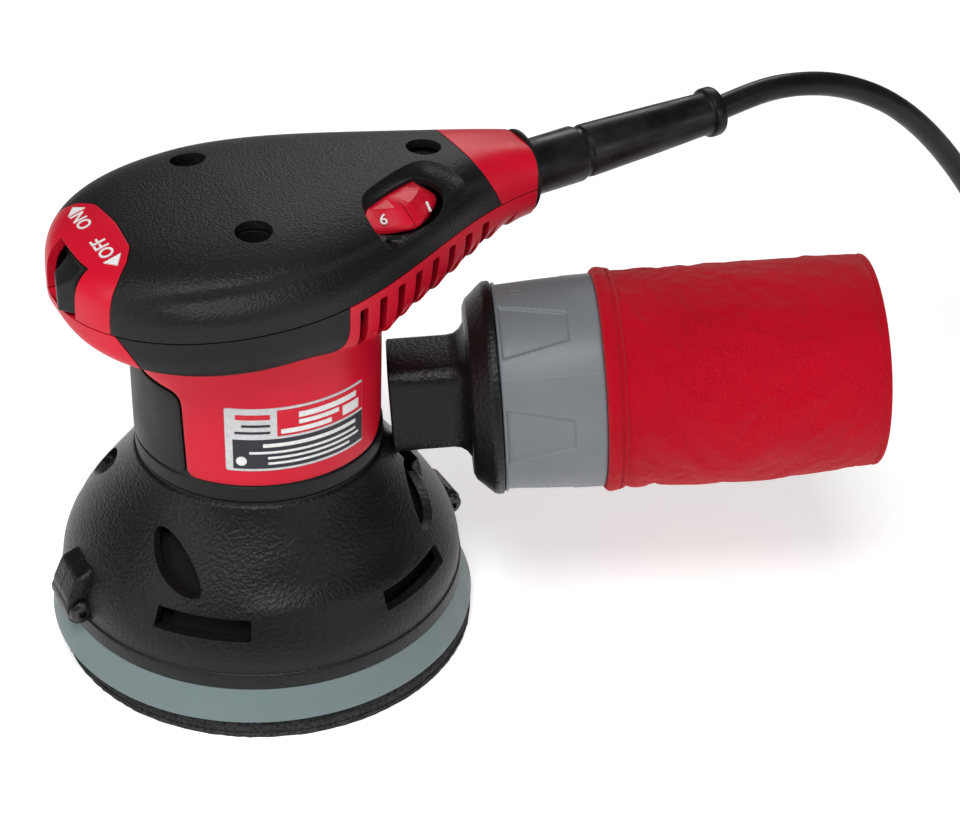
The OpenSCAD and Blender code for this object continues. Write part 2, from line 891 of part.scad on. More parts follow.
module cord() {
  n = len(route);
  rings = [
    for (i = [0 : n - 1], j = [0 : cord_sides - 1])
      let (d = route_dir(i), a = 360 * j / cord_sides, out = cord_r * sin(a), side = cord_r * cos(a))
      [route[i][0] - d[1] * out, side, route[i][1] + d[0] * out]
  ];
  skin = [
    for (i = [0 : n - 2], j = [0 : cord_sides - 1])
      let (k = (j + 1) % cord_sides)
      [i * cord_sides + j, (i + 1) * cord_sides + j, (i + 1) * cord_sides + k, i * cord_sides + k]
  ];
  caps = [
    [for (j = [0 : cord_sides - 1]) j],
    [for (j = [cord_sides - 1 : -1 : 0]) (n - 1) * cord_sides + j]
  ];
  color(rubber) polyhedron(rings, concat(skin, caps), convexity = 6);
}

module cord_coil() {
  color(rubber) translate([coil_x, coil_y, 0])
    ring(coil_r + coil_rows * cord_r, coil_r - coil_rows * cord_r, 0, coil_rows * cord_d);
}

module coil_tie() {
  reach = coil_rows * cord_r;
  tie_t = 1.2;
  color(black) translate([coil_x, coil_y, 0]) difference() {
    block([coil_r - reach - tie_t, -4, 0], [coil_r + reach + tie_t, 4, coil_rows * cord_d + tie_t]);
    cord_coil_core();
  }
}

module cord_coil_core() {
  ring(coil_r + coil_rows * cord_r, coil_r - coil_rows * cord_r, -1, coil_rows * cord_d);
}

module plug() {
  color(rubber) translate([coil_x - plug_offset, coil_y, plug_z]) union() {
    rotate([-90, 0, 0]) cylinder(r1 = 4.6, r2 = 6.2, h = 20.5);
    translate([0, 20, 0]) rotate([-90, 0, 0]) linear_extrude(24.5) rounded_rect(25, 18, 6);
  }
}

module plug_blades() {
  blade_gap = 12.7;
  color(brass) for (side = [-1, 1])
    translate([coil_x - plug_offset + side * blade_gap / 2, coil_y + 44.5, plug_z])
      block([-0.75, 0, -3.2], [0.75, 17.5, 3.2]);
}

// ---------------------------------------------------------------- assembly

top_cover();
nose_inlay();
rear_cap();
cover_screws();
handle_base();
grip_band();
switch_slider();
switch_link();
switch_body();
speed_dial();
speed_pot();
speed_board();
cord_clamp();
strain_relief();
relief_ring();
inner_cord();
switch_leads();
motor_housing();
housing_front_panel();
housing_rear_panel();
bottom_collar();
rating_plate();
stator_core();
field_coils();
brush_holders();
carbon_brushes();
brush_springs();
upper_bracket();
upper_bearing();
bearing_plate();
lower_bearing();
motor_shaft();
armature_core();
armature_windings();
commutator();
cooling_fan();
counterweight();
pad_bearing();
pad_spindle();
spindle_screw();
pad_plate();
pad_foam();
hook_face();
pad_screws();
shroud_left();
shroud_right();
shroud_screws();
dust_skirt();
dust_duct();
canister_seal();
canister_collar();
bag_frame();
dust_bag();
cord();
cord_coil();
coil_tie();
plug();
plug_blades();
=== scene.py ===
import json
import math

import bmesh
import bpy
import numpy as np
from mathutils import Matrix, Vector, noise
from mathutils.geometry import delaunay_2d_cdt


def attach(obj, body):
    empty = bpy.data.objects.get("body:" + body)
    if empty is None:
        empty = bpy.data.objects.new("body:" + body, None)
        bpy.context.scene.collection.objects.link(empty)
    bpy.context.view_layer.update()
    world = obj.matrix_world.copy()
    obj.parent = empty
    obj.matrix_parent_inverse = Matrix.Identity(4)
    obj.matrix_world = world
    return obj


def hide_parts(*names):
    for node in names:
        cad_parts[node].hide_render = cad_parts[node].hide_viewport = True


# Looks for a palm-grip random-orbit sander. Shapes are worked out in millimetres, in the row's frame,
# and mesh() turns them into metres.

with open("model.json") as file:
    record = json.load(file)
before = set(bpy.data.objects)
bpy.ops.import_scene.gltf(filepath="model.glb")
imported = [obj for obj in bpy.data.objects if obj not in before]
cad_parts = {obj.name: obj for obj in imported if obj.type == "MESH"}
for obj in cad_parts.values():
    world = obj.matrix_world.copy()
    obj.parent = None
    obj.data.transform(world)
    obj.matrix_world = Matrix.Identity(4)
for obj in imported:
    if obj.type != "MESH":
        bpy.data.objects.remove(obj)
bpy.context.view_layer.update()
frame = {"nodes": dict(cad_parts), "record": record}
MM = 0.001
NODES = frame["nodes"]

# ------------------------------------------------------------------ sizes, in millimetres

NECK_R, NECK_Z = 36.0, 63.0
COLLAR_TOP, HOUSING_TOP = 69.0, 113.0
RIM_R, RIM_Z = 59.4, 16.4
PARTING_Z, PARTING_SLOPE = 125.0, 0.06
GRIP_W, GRIP_H, GRIP_FRONT, GRIP_REAR, WIDEST_X = 44.5, 18.9, -57.0, 82.8, -6.0
REAR_W, WIDTH_END = 12.0, 88.0
DIAL_AT = (31.5, -11.0)
SLOPE_ANGLE = math.atan(PARTING_SLOPE)
CORD_D = 7.5
COIL_AT, COIL_R, PLUG_OFFSET = (356.0, -48.5), 41.0, 33.5
DUCT = Matrix.Translation((0, 0, 72.2)) @ Matrix.Rotation(math.radians(-25), 4, "Z") @ Matrix.Rotation(
    math.radians(-4.8), 4, "Y")
RELIEF = Matrix.Translation((92, 0, 130.7)) @ Matrix.Rotation(math.radians(-5.24), 4, "Y")

# ------------------------------------------------------------------ mesh helpers


def smooth(t):
    t = min(max(t, 0.0), 1.0)
    return t * t * (3 - 2 * t)


def mesh(name, verts, faces, matrix=None):
    """A new object from millimetre points, placed by matrix."""
    data = bpy.data.meshes.new(name)
    pts = [(matrix @ Vector(v)) if matrix else Vector(v) for v in verts]
    data.from_pydata([p * MM for p in pts], [], faces)
    data.validate()
    bm = bmesh.new()
    bm.from_mesh(data)
    bmesh.ops.recalc_face_normals(bm, faces=bm.faces)
    bm.to_mesh(data)
    bm.free()
    obj = bpy.data.objects.new(name, data)
    bpy.context.scene.collection.objects.link(obj)
    return obj


def tidy(obj, angle=35.0):
    """Outward normals, and smooth shading except over sharp edges."""
    bm = bmesh.new()
    bm.from_mesh(obj.data)
    bmesh.ops.remove_doubles(bm, verts=bm.verts, dist=1e-7)
    bmesh.ops.recalc_face_normals(bm, faces=bm.faces)
    limit = math.radians(angle)
    for face in bm.faces:
        face.smooth = True
    for edge in bm.edges:
        edge.smooth = not (len(edge.link_faces) == 2 and edge.calc_face_angle(0) > limit)
    bm.to_mesh(obj.data)
    bm.free()
    return obj


def settle(obj):
    """Applies the object's modifiers."""
    graph = bpy.context.evaluated_depsgraph_get()
    data = bpy.data.meshes.new_from_object(obj.evaluated_get(graph))
    old = obj.data
    obj.modifiers.clear()
    obj.data = data
    bpy.data.meshes.remove(old)
    return obj


def combine(obj, other, operation):
    """Boolean of obj with other, which is used up."""
    mod = obj.modifiers.new("cut", "BOOLEAN")
    mod.operation = operation
    mod.object = other
    mod.solver = "EXACT"
    settle(obj)
    bpy.data.objects.remove(other)
    return obj


def cut(obj, *others):
    for other in others:
        combine(obj, other, "DIFFERENCE")
    return obj


def keep(obj, other):
    return combine(obj, other, "INTERSECT")


def add(obj, other):
    return combine(obj, other, "UNION")


def bevel(obj, width, segments=2, angle=40.0):
    mod = obj.modifiers.new("bevel", "BEVEL")
    mod.width = width * MM
    mod.segments = segments
    mod.limit_method = "ANGLE"
    mod.angle_limit = math.radians(angle)
    mod.use_clamp_overlap = True
    return settle(obj)


def copy(obj, name):
    new = obj.copy()
    new.data = obj.data.copy()
    new.name = name
    bpy.context.scene.collection.objects.link(new)
    return new


def fillet(points, radii, steps=5):
    """A closed outline with each corner rounded to its radius."""
    out = []
    count = len(points)
    for i, point in enumerate(points):
        radius = radii[i] if hasattr(radii, "__len__") else radii
        p = Vector(point)
        a = Vector(points[i - 1]) - p
        b = Vector(points[(i + 1) % count]) - p
        if radius <= 0 or a.length < 1e-6 or b.length < 1e-6:
            out.append(tuple(p))
            continue
        half = a.angle(b) / 2
        if half > math.radians(88):
            out.append(tuple(p))
            continue
        reach = min(radius / math.tan(half), a.length * 0.48, b.length * 0.48)
        start, end = p + a.normalized() * reach, p + b.normalized() * reach
        for k in range(steps + 1):
            t = k / steps
            out.append(tuple((1 - t) ** 2 * start + 2 * t * (1 - t) * p + t * t * end))
    return out


def revolve(name, profile, steps=128, matrix=None, start=0.0, sweep=360.0, shift=None):
    """Turns a closed outline of (radius, height) about Z. shift(angle, r, z) gives each point's extra radius."""
    whole = abs(sweep) >= 360
    count = steps if whole else steps + 1
    verts = []
    for i in range(count):
        a = math.radians(start + sweep * i / steps)
        for r, z in profile:
            rr = r + (shift(math.degrees(a), r, z) if shift else 0)
            verts.append((rr * math.cos(a), rr * math.sin(a), z))
    n = len(profile)
    faces = []
    for i in range(steps):
        j = (i + 1) % count
        faces += [(i * n + k, j * n + k, j * n + (k + 1) % n, i * n + (k + 1) % n) for k in range(n)]
    if not whole:
        faces += [tuple(range(n)), tuple(reversed(range(steps * n, steps * n + n)))]
    return mesh(name, verts, faces, matrix)


X_AXIS = Matrix.Rotation(math.radians(90), 4, "Y")


def along_x(matrix=None):
    """Matrix that lays a revolved piece's axis along +X of the given frame."""
    turn = Matrix(((0, 0, 1, 0), (0, 1, 0, 0), (-1, 0, 0, 0), (0, 0, 0, 1)))
    return matrix @ turn if matrix else turn


def prism(name, outline, z0, z1, matrix=None):
    """An outline in XY, extruded from z0 to z1."""
    n = len(outline)
    verts = [(x, y, z0) for x, y in outline] + [(x, y, z1) for x, y in outline]
    faces = [tuple(reversed(range(n))), tuple(range(n, 2 * n))]
    faces += [(i, (i + 1) % n, n + (i + 1) % n, n + i) for i in range(n)]
    return mesh(name, verts, faces, matrix)


def loft(name, rings, matrix=None, capped=True):
    n = len(rings[0])
    verts = [p for ring in rings for p in ring]
    faces = []
    for i in range(len(rings) - 1):
        faces += [(i * n + k, i * n + (k + 1) % n, (i + 1) * n + (k + 1) % n, (i + 1) * n + k) for k in range(n)]
    if capped:
        faces += [tuple(reversed(range(n))), tuple(range((len(rings) - 1) * n, len(rings) * n))]
    return mesh(name, verts, faces, matrix)


def cylinder(name, r, z0, z1, matrix=None, steps=48):
    ring = [(r * math.cos(2 * math.pi * i / steps), r * math.sin(2 * math.pi * i / steps)) for i in range(steps)]
    return prism(name, ring, z0, z1, matrix)


def box(name, low, high, matrix=None):
    (x0, y0, z0), (x1, y1, z1) = low, high
    return prism(name, [(x0, y0), (x1, y0), (x1, y1), (x0, y1)], z0, z1, matrix)


def split_long(loop, spacing):
    """The same closed outline with points at most spacing apart."""
    out = []
    for i, p in enumerate(loop):
        a, b = Vector(p), Vector(loop[(i + 1) % len(loop)])
        parts = max(int(math.ceil((b - a).length / spacing)), 1)
        out += [tuple(a.lerp(b, k / parts)) for k in range(parts)]
    return out


def patch(name, outline, place, thickness, spacing=1.5, holes=()):
    """A thin curved plate: an outline in (u, v), filled, and put on a surface by place(u, v, height)."""
    outline = split_long(outline, spacing)
    holes = [split_long(h, spacing) for h in holes]
    us, vs = [p[0] for p in outline], [p[1] for p in outline]

    def inside(u, v, loop):
        odd = False
        for i, (u0, v0) in enumerate(loop):
            u1, v1 = loop[i - 1]
            if (v0 > v) != (v1 > v) and u < (u1 - u0) * (v - v0) / (v1 - v0) + u0:
                odd = not odd
        return odd

    def near(u, v, loop):
        return any((u - a) ** 2 + (v - b) ** 2 < (spacing * 0.45) ** 2 for a, b in loop)

    points = [Vector(p) for p in outline]
    loops = [list(range(len(outline)))]
    for hole in holes:
        loops.append(list(range(len(points), len(points) + len(hole))))
        points += [Vector(p) for p in hole]
    edges = [(loop[i - 1], loop[i]) for loop in loops for i in range(len(loop))]
    nu = max(int((max(us) - min(us)) / spacing), 1)
    nv = max(int((max(vs) - min(vs)) / spacing), 1)
    for i in range(nu + 1):
        for j in range(nv + 1):
            u = min(us) + (max(us) - min(us)) * i / nu
            v = min(vs) + (max(vs) - min(vs)) * j / nv
            if inside(u, v, outline) and not near(u, v, outline):
                if not any(inside(u, v, h) or near(u, v, h) for h in holes):
                    points.append(Vector((u, v)))
    found = delaunay_2d_cdt(points, edges, [], 0, 1e-5)
    flat, faces = found[0], []
    for face in found[2]:
        cu = sum(flat[i][0] for i in face) / len(face)
        cv = sum(flat[i][1] for i in face) / len(face)
        if inside(cu, cv, outline) and not any(inside(cu, cv, h) for h in holes):
            faces.append(tuple(face))
    n = len(flat)
    verts = [place(p[0], p[1], 0) for p in flat] + [place(p[0], p[1], thickness) for p in flat]
    sides = {}
    for face in faces:
        for i in range(len(face)):
            a, b = face[i - 1], face[i]
            key = (min(a, b), max(a, b))
            sides[key] = None if key in sides else (a, b)
    walls = [(e[0] + n, e[1] + n, e[1], e[0]) for e in sides.values() if e]
    lower = [tuple(reversed(f)) for f in faces]
    upper = [tuple(i + n for i in f) for f in faces]
    return mesh(name, verts, lower + upper + walls)


# ------------------------------------------------------------------ materials


class Paint:
    """Builds one node material around a Principled shader."""

    def __init__(self, name, rough=0.5, **sockets):
        self.mat = bpy.data.materials.new(name)
        self.mat.use_nodes = True
        self.tree = self.mat.node_tree
        self.tree.nodes.clear()
        self.out = self.tree.nodes.new("ShaderNodeOutputMaterial")
        self.shader = self.tree.nodes.new("ShaderNodeBsdfPrincipled")
        self.link(self.shader.outputs[0], self.out.inputs["Surface"])
        self.shader.inputs["Roughness"].default_value = rough
        for key, value in sockets.items():
            self.shader.inputs[key.replace("_", " ").title().replace("Ior", "IOR")].default_value = value
        self.shader.inputs["Specular IOR Level"].default_value = 0.24
        self.coords = self.tree.nodes.new("ShaderNodeTexCoord")
        edge = self.tree.nodes.new("ShaderNodeBevel")
        edge.samples = 4
        edge.inputs["Radius"].default_value = 0.35 * MM
        self.normal = edge.outputs[0]

    def link(self, a, b):
        self.tree.links.new(a, b)

    def noise(self, scale, detail=2.0, rough=0.5, space="Object", stretch=None):
        node = self.tree.nodes.new("ShaderNodeTexNoise")
        node.inputs["Scale"].default_value = scale
        node.inputs["Detail"].default_value = detail
        node.inputs["Roughness"].default_value = rough
        self.link(self.place(space, stretch), node.inputs["Vector"])
        return node.outputs["Fac"]

    def place(self, space="Object", stretch=None, turn=(0, 0, 0)):
        if stretch is None and turn == (0, 0, 0):
            return self.coords.outputs[space]
        node = self.tree.nodes.new("ShaderNodeMapping")
        node.inputs["Scale"].default_value = stretch or (1, 1, 1)
        node.inputs["Rotation"].default_value = turn
        self.link(self.coords.outputs[space], node.inputs["Vector"])
        return node.outputs[0]

    def cells(self, scale, feature="F1"):
        node = self.tree.nodes.new("ShaderNodeTexVoronoi")
        node.feature = feature
        node.inputs["Scale"].default_value = scale
        self.link(self.coords.outputs["Object"], node.inputs["Vector"])
        return node.outputs["Distance"]

    def wave(self, scale, space="UV", turn=0.0, distort=0.0, profile="SIN"):
        node = self.tree.nodes.new("ShaderNodeTexWave")
        node.wave_profile = profile
        node.inputs["Scale"].default_value = scale
        node.inputs["Distortion"].default_value = distort
        self.link(self.place(space, None, (0, 0, turn)), node.inputs["Vector"])
        return node.outputs["Fac"]

    def ramp(self, value, low, high, a=0.0, b=1.0):
        node = self.tree.nodes.new("ShaderNodeMapRange")
        for key, v in (("From Min", a), ("From Max", b), ("To Min", low), ("To Max", high)):
            node.inputs[key].default_value = v
        self.link(value, node.inputs["Value"])
        return node.outputs["Result"]

    def maths(self, kind, a, b):
        node = self.tree.nodes.new("ShaderNodeMath")
        node.operation = kind
        for i, v in enumerate((a, b)):
            if isinstance(v, (int, float)):
                node.inputs[i].default_value = v
            else:
                self.link(v, node.inputs[i])
        return node.outputs[0]

    def mix(self, fac, a, b):
        node = self.tree.nodes.new("ShaderNodeMix")
        node.data_type = "RGBA"
        self.link(fac, node.inputs["Factor"])
        for socket, v in ((node.inputs[6], a), (node.inputs[7], b)):
            if isinstance(v, tuple):
                socket.default_value = (*v, 1.0)
            else:
                self.link(v, socket)
        return node.outputs[2]

    def bump(self, height, strength, distance):
        node = self.tree.nodes.new("ShaderNodeBump")
        node.inputs["Strength"].default_value = strength
        node.inputs["Distance"].default_value = distance * MM
        self.link(height, node.inputs["Height"])
        if self.normal:
            self.link(self.normal, node.inputs["Normal"])
        self.normal = node.outputs["Normal"]
        self.link(self.normal, self.shader.inputs["Normal"])
        return self

    def colour(self, value):
        self.link(value, self.shader.inputs["Base Color"])
        return self

    def rough(self, value):
        self.link(value, self.shader.inputs["Roughness"])
        return self

    def edge_wear(self, base, worn, amount=0.5):
        """Lighter along convex edges, broken up by noise."""
        geo = self.tree.nodes.new("ShaderNodeNewGeometry")
        edge = self.ramp(geo.outputs["Pointiness"], 0.0, 1.0, 0.53, 0.62)
        edge = self.maths("MULTIPLY", edge, self.ramp(self.noise(420, 3), 0.2, 1.0, 0.4, 0.62))
        return self.mix(self.maths("MULTIPLY", edge, amount), base, worn)


def dark(colour, by):
    return tuple(c * by for c in colour)


def light(colour, by):
    return tuple(min(c + by, 1.0) for c in colour)


def moulded(name, colour, rough=0.45, grain=1500, depth=0.05, strength=0.5, spread=0.12, wear=0.25, lift=0.05,
            coat=0.0):
    """Moulded plastic: spark-eroded grain, faint colour drift, broken gloss and worn edges."""
    p = Paint(name, rough, coat_weight=coat)
    drift = p.noise(35, 3)
    base = p.mix(p.ramp(drift, 0, 1, 0.3, 0.7), dark(colour, 1 - spread), light(dark(colour, 1 + spread), 0.0))
    p.colour(p.edge_wear(base, light(colour, lift), wear))
    fine = p.noise(grain, 4, 0.6)
    p.rough(p.ramp(p.maths("ADD", p.maths("MULTIPLY", fine, 0.6), p.maths("MULTIPLY", p.noise(90, 2), 0.4)),
                   rough - 0.09, rough + 0.11, 0.3, 0.7))
    p.bump(fine, strength, depth)
    p.bump(p.noise(160, 2), 0.12, 0.06)
    return p.mat


def eroded(name, colour, rough=0.4, grain=1100, depth=0.12, strength=0.8):
    """Coarse spark-eroded plastic: pebbled cells over fine noise, with painted highlights on the raised grain."""
    p = Paint(name, rough)
    pebble = p.cells(grain)
    fine = p.noise(grain * 2.2, 3, 0.65)
    height = p.maths("ADD", p.maths("MULTIPLY", pebble, 0.7), p.maths("MULTIPLY", fine, 0.6))
    base = p.mix(p.ramp(p.noise(45, 3), 0, 1, 0.3, 0.7), dark(colour, 0.8), dark(colour, 1.3))
    # Painted highlight: the grain's raised ridges are lightened in colour, standing in for the specks of light they
    # catch.
    base = p.mix(p.ramp(height, 0, 0.35, 0.5, 1.0), base, light(colour, 0.008))
    p.colour(p.edge_wear(base, light(colour, 0.02), 0.3))

    p.rough(p.ramp(fine, rough - 0.1, rough + 0.14, 0.3, 0.7))
    p.bump(height, strength, depth)
    return p.mat


def metal(name, colour, rough=0.3, scale=300):
    """Machined metal: fine turning lines, and smudges that darken it in patches."""
    p = Paint(name, rough, metallic=1.0)
    lines = p.noise(scale, 4, 0.7, stretch=(1, 1, 14))
    smudge = p.noise(110, 3)
    p.colour(p.mix(p.ramp(smudge, 0, 1, 0.3, 0.75), dark(colour, 0.72), colour))
    p.rough(p.ramp(p.maths("ADD", lines, smudge), rough - 0.08, rough + 0.22, 0.6, 1.4))
    p.bump(lines, 0.25, 0.02)
    return p.mat


def printed(name, colour):
    """Printed ink: slightly uneven coverage over the part's grain."""
    p = Paint(name, 0.45)
    p.colour(p.mix(p.ramp(p.noise(900, 3), 0, 1, 0.35, 0.7), dark(colour, 0.86), colour))
    p.rough(p.ramp(p.noise(400, 2), 0.36, 0.55, 0.3, 0.7))
    p.bump(p.noise(1500, 2), 0.2, 0.02)
    return p.mat


def twill(name, colour, pitch=0.62):
    """Cotton twill: diagonal ribs crossed by the weft, painted shade in the grooves between them, fuzz, and slight
    fading. UV is in millimetres.
    """
    p = Paint(name, 0.86, sheen_weight=0.25, sheen_roughness=0.45)
    p.shader.inputs["Sheen Tint"].default_value = (1.0, 0.45, 0.45, 1.0)
    p.shader.inputs["Specular IOR Level"].default_value = 0.08
    rib_scale = 2 * math.pi / (20 * pitch)
    rib = p.wave(rib_scale, turn=math.radians(58), distort=0.35)
    thread = p.wave(rib_scale * 1.35, turn=math.radians(0), distort=0.25)
    weave = p.maths("ADD", p.maths("MULTIPLY", rib, 0.72), p.maths("MULTIPLY", thread, 0.28))
    fade = p.noise(28, 4)
    fuzz = p.noise(2600, 3, 0.7)
    base = p.mix(p.ramp(fade, 0, 1, 0.3, 0.72), dark(colour, 0.88), dark(colour, 1.1))
    # Painted shade: the weave's low grooves are darkened towards half the cloth's colour.
    base = p.mix(p.ramp(weave, 0.0, 0.42, 0.9, 0.2), base, dark(colour, 0.5))
    base = p.mix(p.ramp(fuzz, 0, 0.16, 0.5, 0.8), base, light(colour, 0.1))
    p.colour(base)
    p.rough(p.ramp(weave, 0.93, 0.78))
    p.bump(weave, 0.75, 0.16)
    p.bump(fuzz, 0.25, 0.05)
    return p.mat


def rubbed(name, colour, rough=0.5, depth=0.03, scale=900, dust=0.1):
    """Rubber or cord jacket: fine pebble, faint dusty patches."""
    p = Paint(name, rough)
    fine = p.noise(scale, 3, 0.6)
    patches = p.ramp(p.noise(60, 4, 0.6), 0, dust, 0.5, 0.8)
    p.colour(p.mix(patches, colour, light(colour, 0.18)))
    p.rough(p.ramp(p.noise(140, 3), rough - 0.08, rough + 0.12, 0.3, 0.7))
    p.bump(fine, 0.5, depth)
    return p.mat


def foam(name, colour):
    """Open-edged foam: pitted cells, darkened in the pits as painted shade."""
    p = Paint(name, 0.92)
    pits = p.cells(900)
    # Painted shade: darker towards the bottom of each pit.
    p.colour(p.mix(p.ramp(pits, 0, 1, 0.1, 0.7), dark(colour, 0.45), light(colour, 0.02)))
    p.bump(pits, 1.0, 0.35)
    p.bump(p.noise(260, 3), 0.6, 0.4)
    return p.mat


RED = (0.60, 0.0045, 0.024)
BLACK = (0.020, 0.021, 0.021)
MATS = {
    "cover_black": eroded("cover_black", (0.0045, 0.005, 0.0047), 0.42, 1250, 0.16, 0.95),
    "housing_red": moulded("housing_red", RED, 0.38, 1300, 0.03, 0.4, 0.07, 0.3, 0.05, 0.0),
    "overmold_black": moulded("overmold_black", (0.0055, 0.006, 0.006), 0.46, 1700, 0.06, 0.7, 0.15, 0.3, 0.02),
    "shroud_black": eroded("shroud_black", (0.0038, 0.0041, 0.0041), 0.34, 950, 0.18, 1.0),
    "inner_plastic": moulded("inner_plastic", (0.045, 0.045, 0.05), 0.5),
    "board_green": moulded("board_green", (0.02, 0.14, 0.06), 0.3),
    "rubber_black": rubbed("rubber_black", (0.004, 0.0044, 0.0044), 0.34),
    "cord_rubber": rubbed("cord_rubber", (0.0045, 0.005, 0.005), 0.36, 0.02, 700, 0.05),
    "steel": metal("steel", (0.60, 0.61, 0.63)),
    "copper": metal("copper", (0.72, 0.33, 0.16), 0.35),
    "brass": metal("brass", (0.78, 0.60, 0.28), 0.25),
    "label": printed("label", (0.62, 0.63, 0.64)),
    "carbon": rubbed("carbon", (0.02, 0.02, 0.02), 0.6),
    "pad_foam": foam("pad_foam", (0.018, 0.018, 0.019)),
    "hook": foam("hook", (0.022, 0.022, 0.022)),
    "skirt_grey": rubbed("skirt_grey", (0.165, 0.215, 0.218), 0.46, 0.02, 1100, 0.08),
    "canister_grey": moulded("canister_grey", (0.162, 0.178, 0.192), 0.40, 1400, 0.03, 0.4, 0.06, 0.3, 0.12),
    "bag_cloth": twill("bag_cloth", (0.48, 0.0, 0.012)),
}
INK = printed("white_ink", (0.85, 0.85, 0.84))
INK_DARK = printed("dark_ink", (0.03, 0.03, 0.04))
THREAD = twill("thread", (0.42, 0.0, 0.02), 0.4)
# Near-black material for sheets and marks that stand in for shade inside the tool: painted shade.
SHADOW = moulded("painted_shade_black", (0.0025, 0.0025, 0.0025), 0.85, lift=0.0)


def dress(obj, material, body, *nodes, slot=None, angle=35.0):
    """Finishes a piece: shading, material, body, and the CAD nodes it stands for."""
    tidy(obj, angle)
    obj.data.materials.clear()
    obj.data.materials.append(MATS[material] if isinstance(material, str) else material)
    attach(obj, body)
    if nodes:
        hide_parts(*nodes)
    slot or (material if isinstance(material, str) else "housing_red")
    return obj


def paint_cad_nodes():
    slots = {s["node"]: s["material_slot"] for s in frame["record"]["subparts"]}
    for name, obj in NODES.items():
        obj.data.materials.clear()
        obj.data.materials.append(MATS[slots[name]])
        for face in obj.data.polygons:
            face.use_smooth = True
        obj.data.set_sharp_from_angle(angle=math.radians(30))


# ------------------------------------------------------------------ camera, floor and light


def make_camera():
    """Fitted view: 30 degrees round to the left, 33 degrees up, rolled slightly."""
    azimuth, elevation, roll = math.radians(-30), math.radians(33.32), math.radians(2.41)
    distance, right_shift, up_shift = 618.4, 63.96, 62.16
    back = Vector((math.sin(azimuth) * math.cos(elevation), -math.cos(azimuth) * math.cos(elevation),
                   math.sin(elevation)))
    right = Vector((math.cos(azimuth), math.sin(azimuth), 0))
    up = back.cross(right)
    data = bpy.data.cameras.new("camera")
    data.lens, data.sensor_width = 75.0, 36.0
    data.clip_start, data.clip_end = 0.02, 20.0
    cam = bpy.data.objects.new("camera", data)
    bpy.context.scene.collection.objects.link(cam)
    rolled_right = right * math.cos(roll) + up * math.sin(roll)
    rolled_up = back.cross(rolled_right)
    turn = Matrix((rolled_right, rolled_up, back)).transposed().to_4x4()
    place = (back * distance + right * right_shift + up * up_shift) * MM
    cam.matrix_world = Matrix.Translation(place) @ turn
    bpy.context.scene.camera = cam


def area_light(name, place, target, size, power, colour=(1, 1, 1)):
    data = bpy.data.lights.new(name, "AREA")
    data.shape = "RECTANGLE"
    data.size, data.size_y = size
    data.energy = power
    data.color = colour
    obj = bpy.data.objects.new(name, data)
    bpy.context.scene.collection.objects.link(obj)
    obj.location = place
    obj.rotation_mode = "QUATERNION"
    obj.rotation_quaternion = (Vector(target) - Vector(place)).to_track_quat("-Z", "Y")
    return obj


def make_studio():
    floor = mesh("floor", [(-3000, -3000, 0), (3000, -3000, 0), (3000, 3000, 0), (-3000, 3000, 0)], [(0, 1, 2, 3)])
    p = Paint("floor_paper", 0.9)
    p.colour(p.mix(p.ramp(p.noise(8, 2), 0, 1, 0.3, 0.7), (0.86, 0.86, 0.86), (0.90, 0.90, 0.90)))
    p.bump(p.noise(900, 2), 0.05, 0.05)
    p.shader.inputs["Emission Color"].default_value = (1.0, 1.0, 1.0, 1.0)
    p.shader.inputs["Emission Strength"].default_value = 0.5
    floor.data.materials.append(p.mat)
    centre = (0.05, 0, 0.08)
    area_light("key", (-0.3, -0.45, 1.0), centre, (0.42, 0.42), 8)
    area_light("left", (-1.0, -0.1, 0.55), centre, (0.25, 0.6), 3)
    area_light("back", (0.6, 0.8, 0.7), centre, (0.6, 0.25), 2.6)
    area_light("front", (0.35, -1.1, 0.45), centre, (0.6, 0.4), 2.2)
    world = bpy.data.worlds.new("studio")
    world.use_nodes = True
    world.node_tree.nodes["Background"].inputs["Color"].default_value = (1.0, 1.0, 1.0, 1.0)
    world.node_tree.nodes["Background"].inputs["Strength"].default_value = 0.09
    bpy.context.scene.world = world
    bpy.context.scene.view_settings.view_transform = "Standard"


# ------------------------------------------------------------------ cord, coil and plug

ROUTE = [
    (151.8, 0, 136.2), (160, 0, 137.9), (168, 0, 139.4), (176, 0, 139.7), (184, 0, 139), (192, 0, 137.6),
    (200, 0, 135.4), (212, 0, 130.6), (225, 0, 123.2), (240, 0, 111), (254, 0, 96.5), (266, 0, 82),
    (277, 0, 67), (288, 0, 51), (298, 0, 37.5), (308, 0, 26), (318, 0, 16.5), (328, 0, 9.5),
    (338, 0, 5.5), (347, 0, 4),
]


def coil_path():
    """Eight turns, three side by side and three high, then up into the plug that lies on them."""
    places = [(48.5, 3.75), (41, 3.75), (33.5, 3.75), (33.5, 11.25), (41, 11.25), (48.5, 11.25), (41, 18.75)]
    steps, change = 30, 7
    path = []
    for turn, (r, z) in enumerate(places):
        r_next, z_next = places[turn + 1] if turn + 1 < len(places) else (PLUG_OFFSET, 30.0)
        for k in range(steps if turn + 1 < len(places) else int(steps * 0.75)):
            last = turn + 1 == len(places)
            start = steps - change if not last else int(steps * 0.28)
            span = change if not last else int(steps * 0.75) - start
            t = smooth((k - start) / span)
            a = 2 * math.pi * (k / steps)
            rr, zz = r + (r_next - r) * t, z + (z_next - z) * t
            path.append((COIL_AT[0] + rr * math.sin(a), COIL_AT[1] + rr * math.cos(a), zz))
    return path


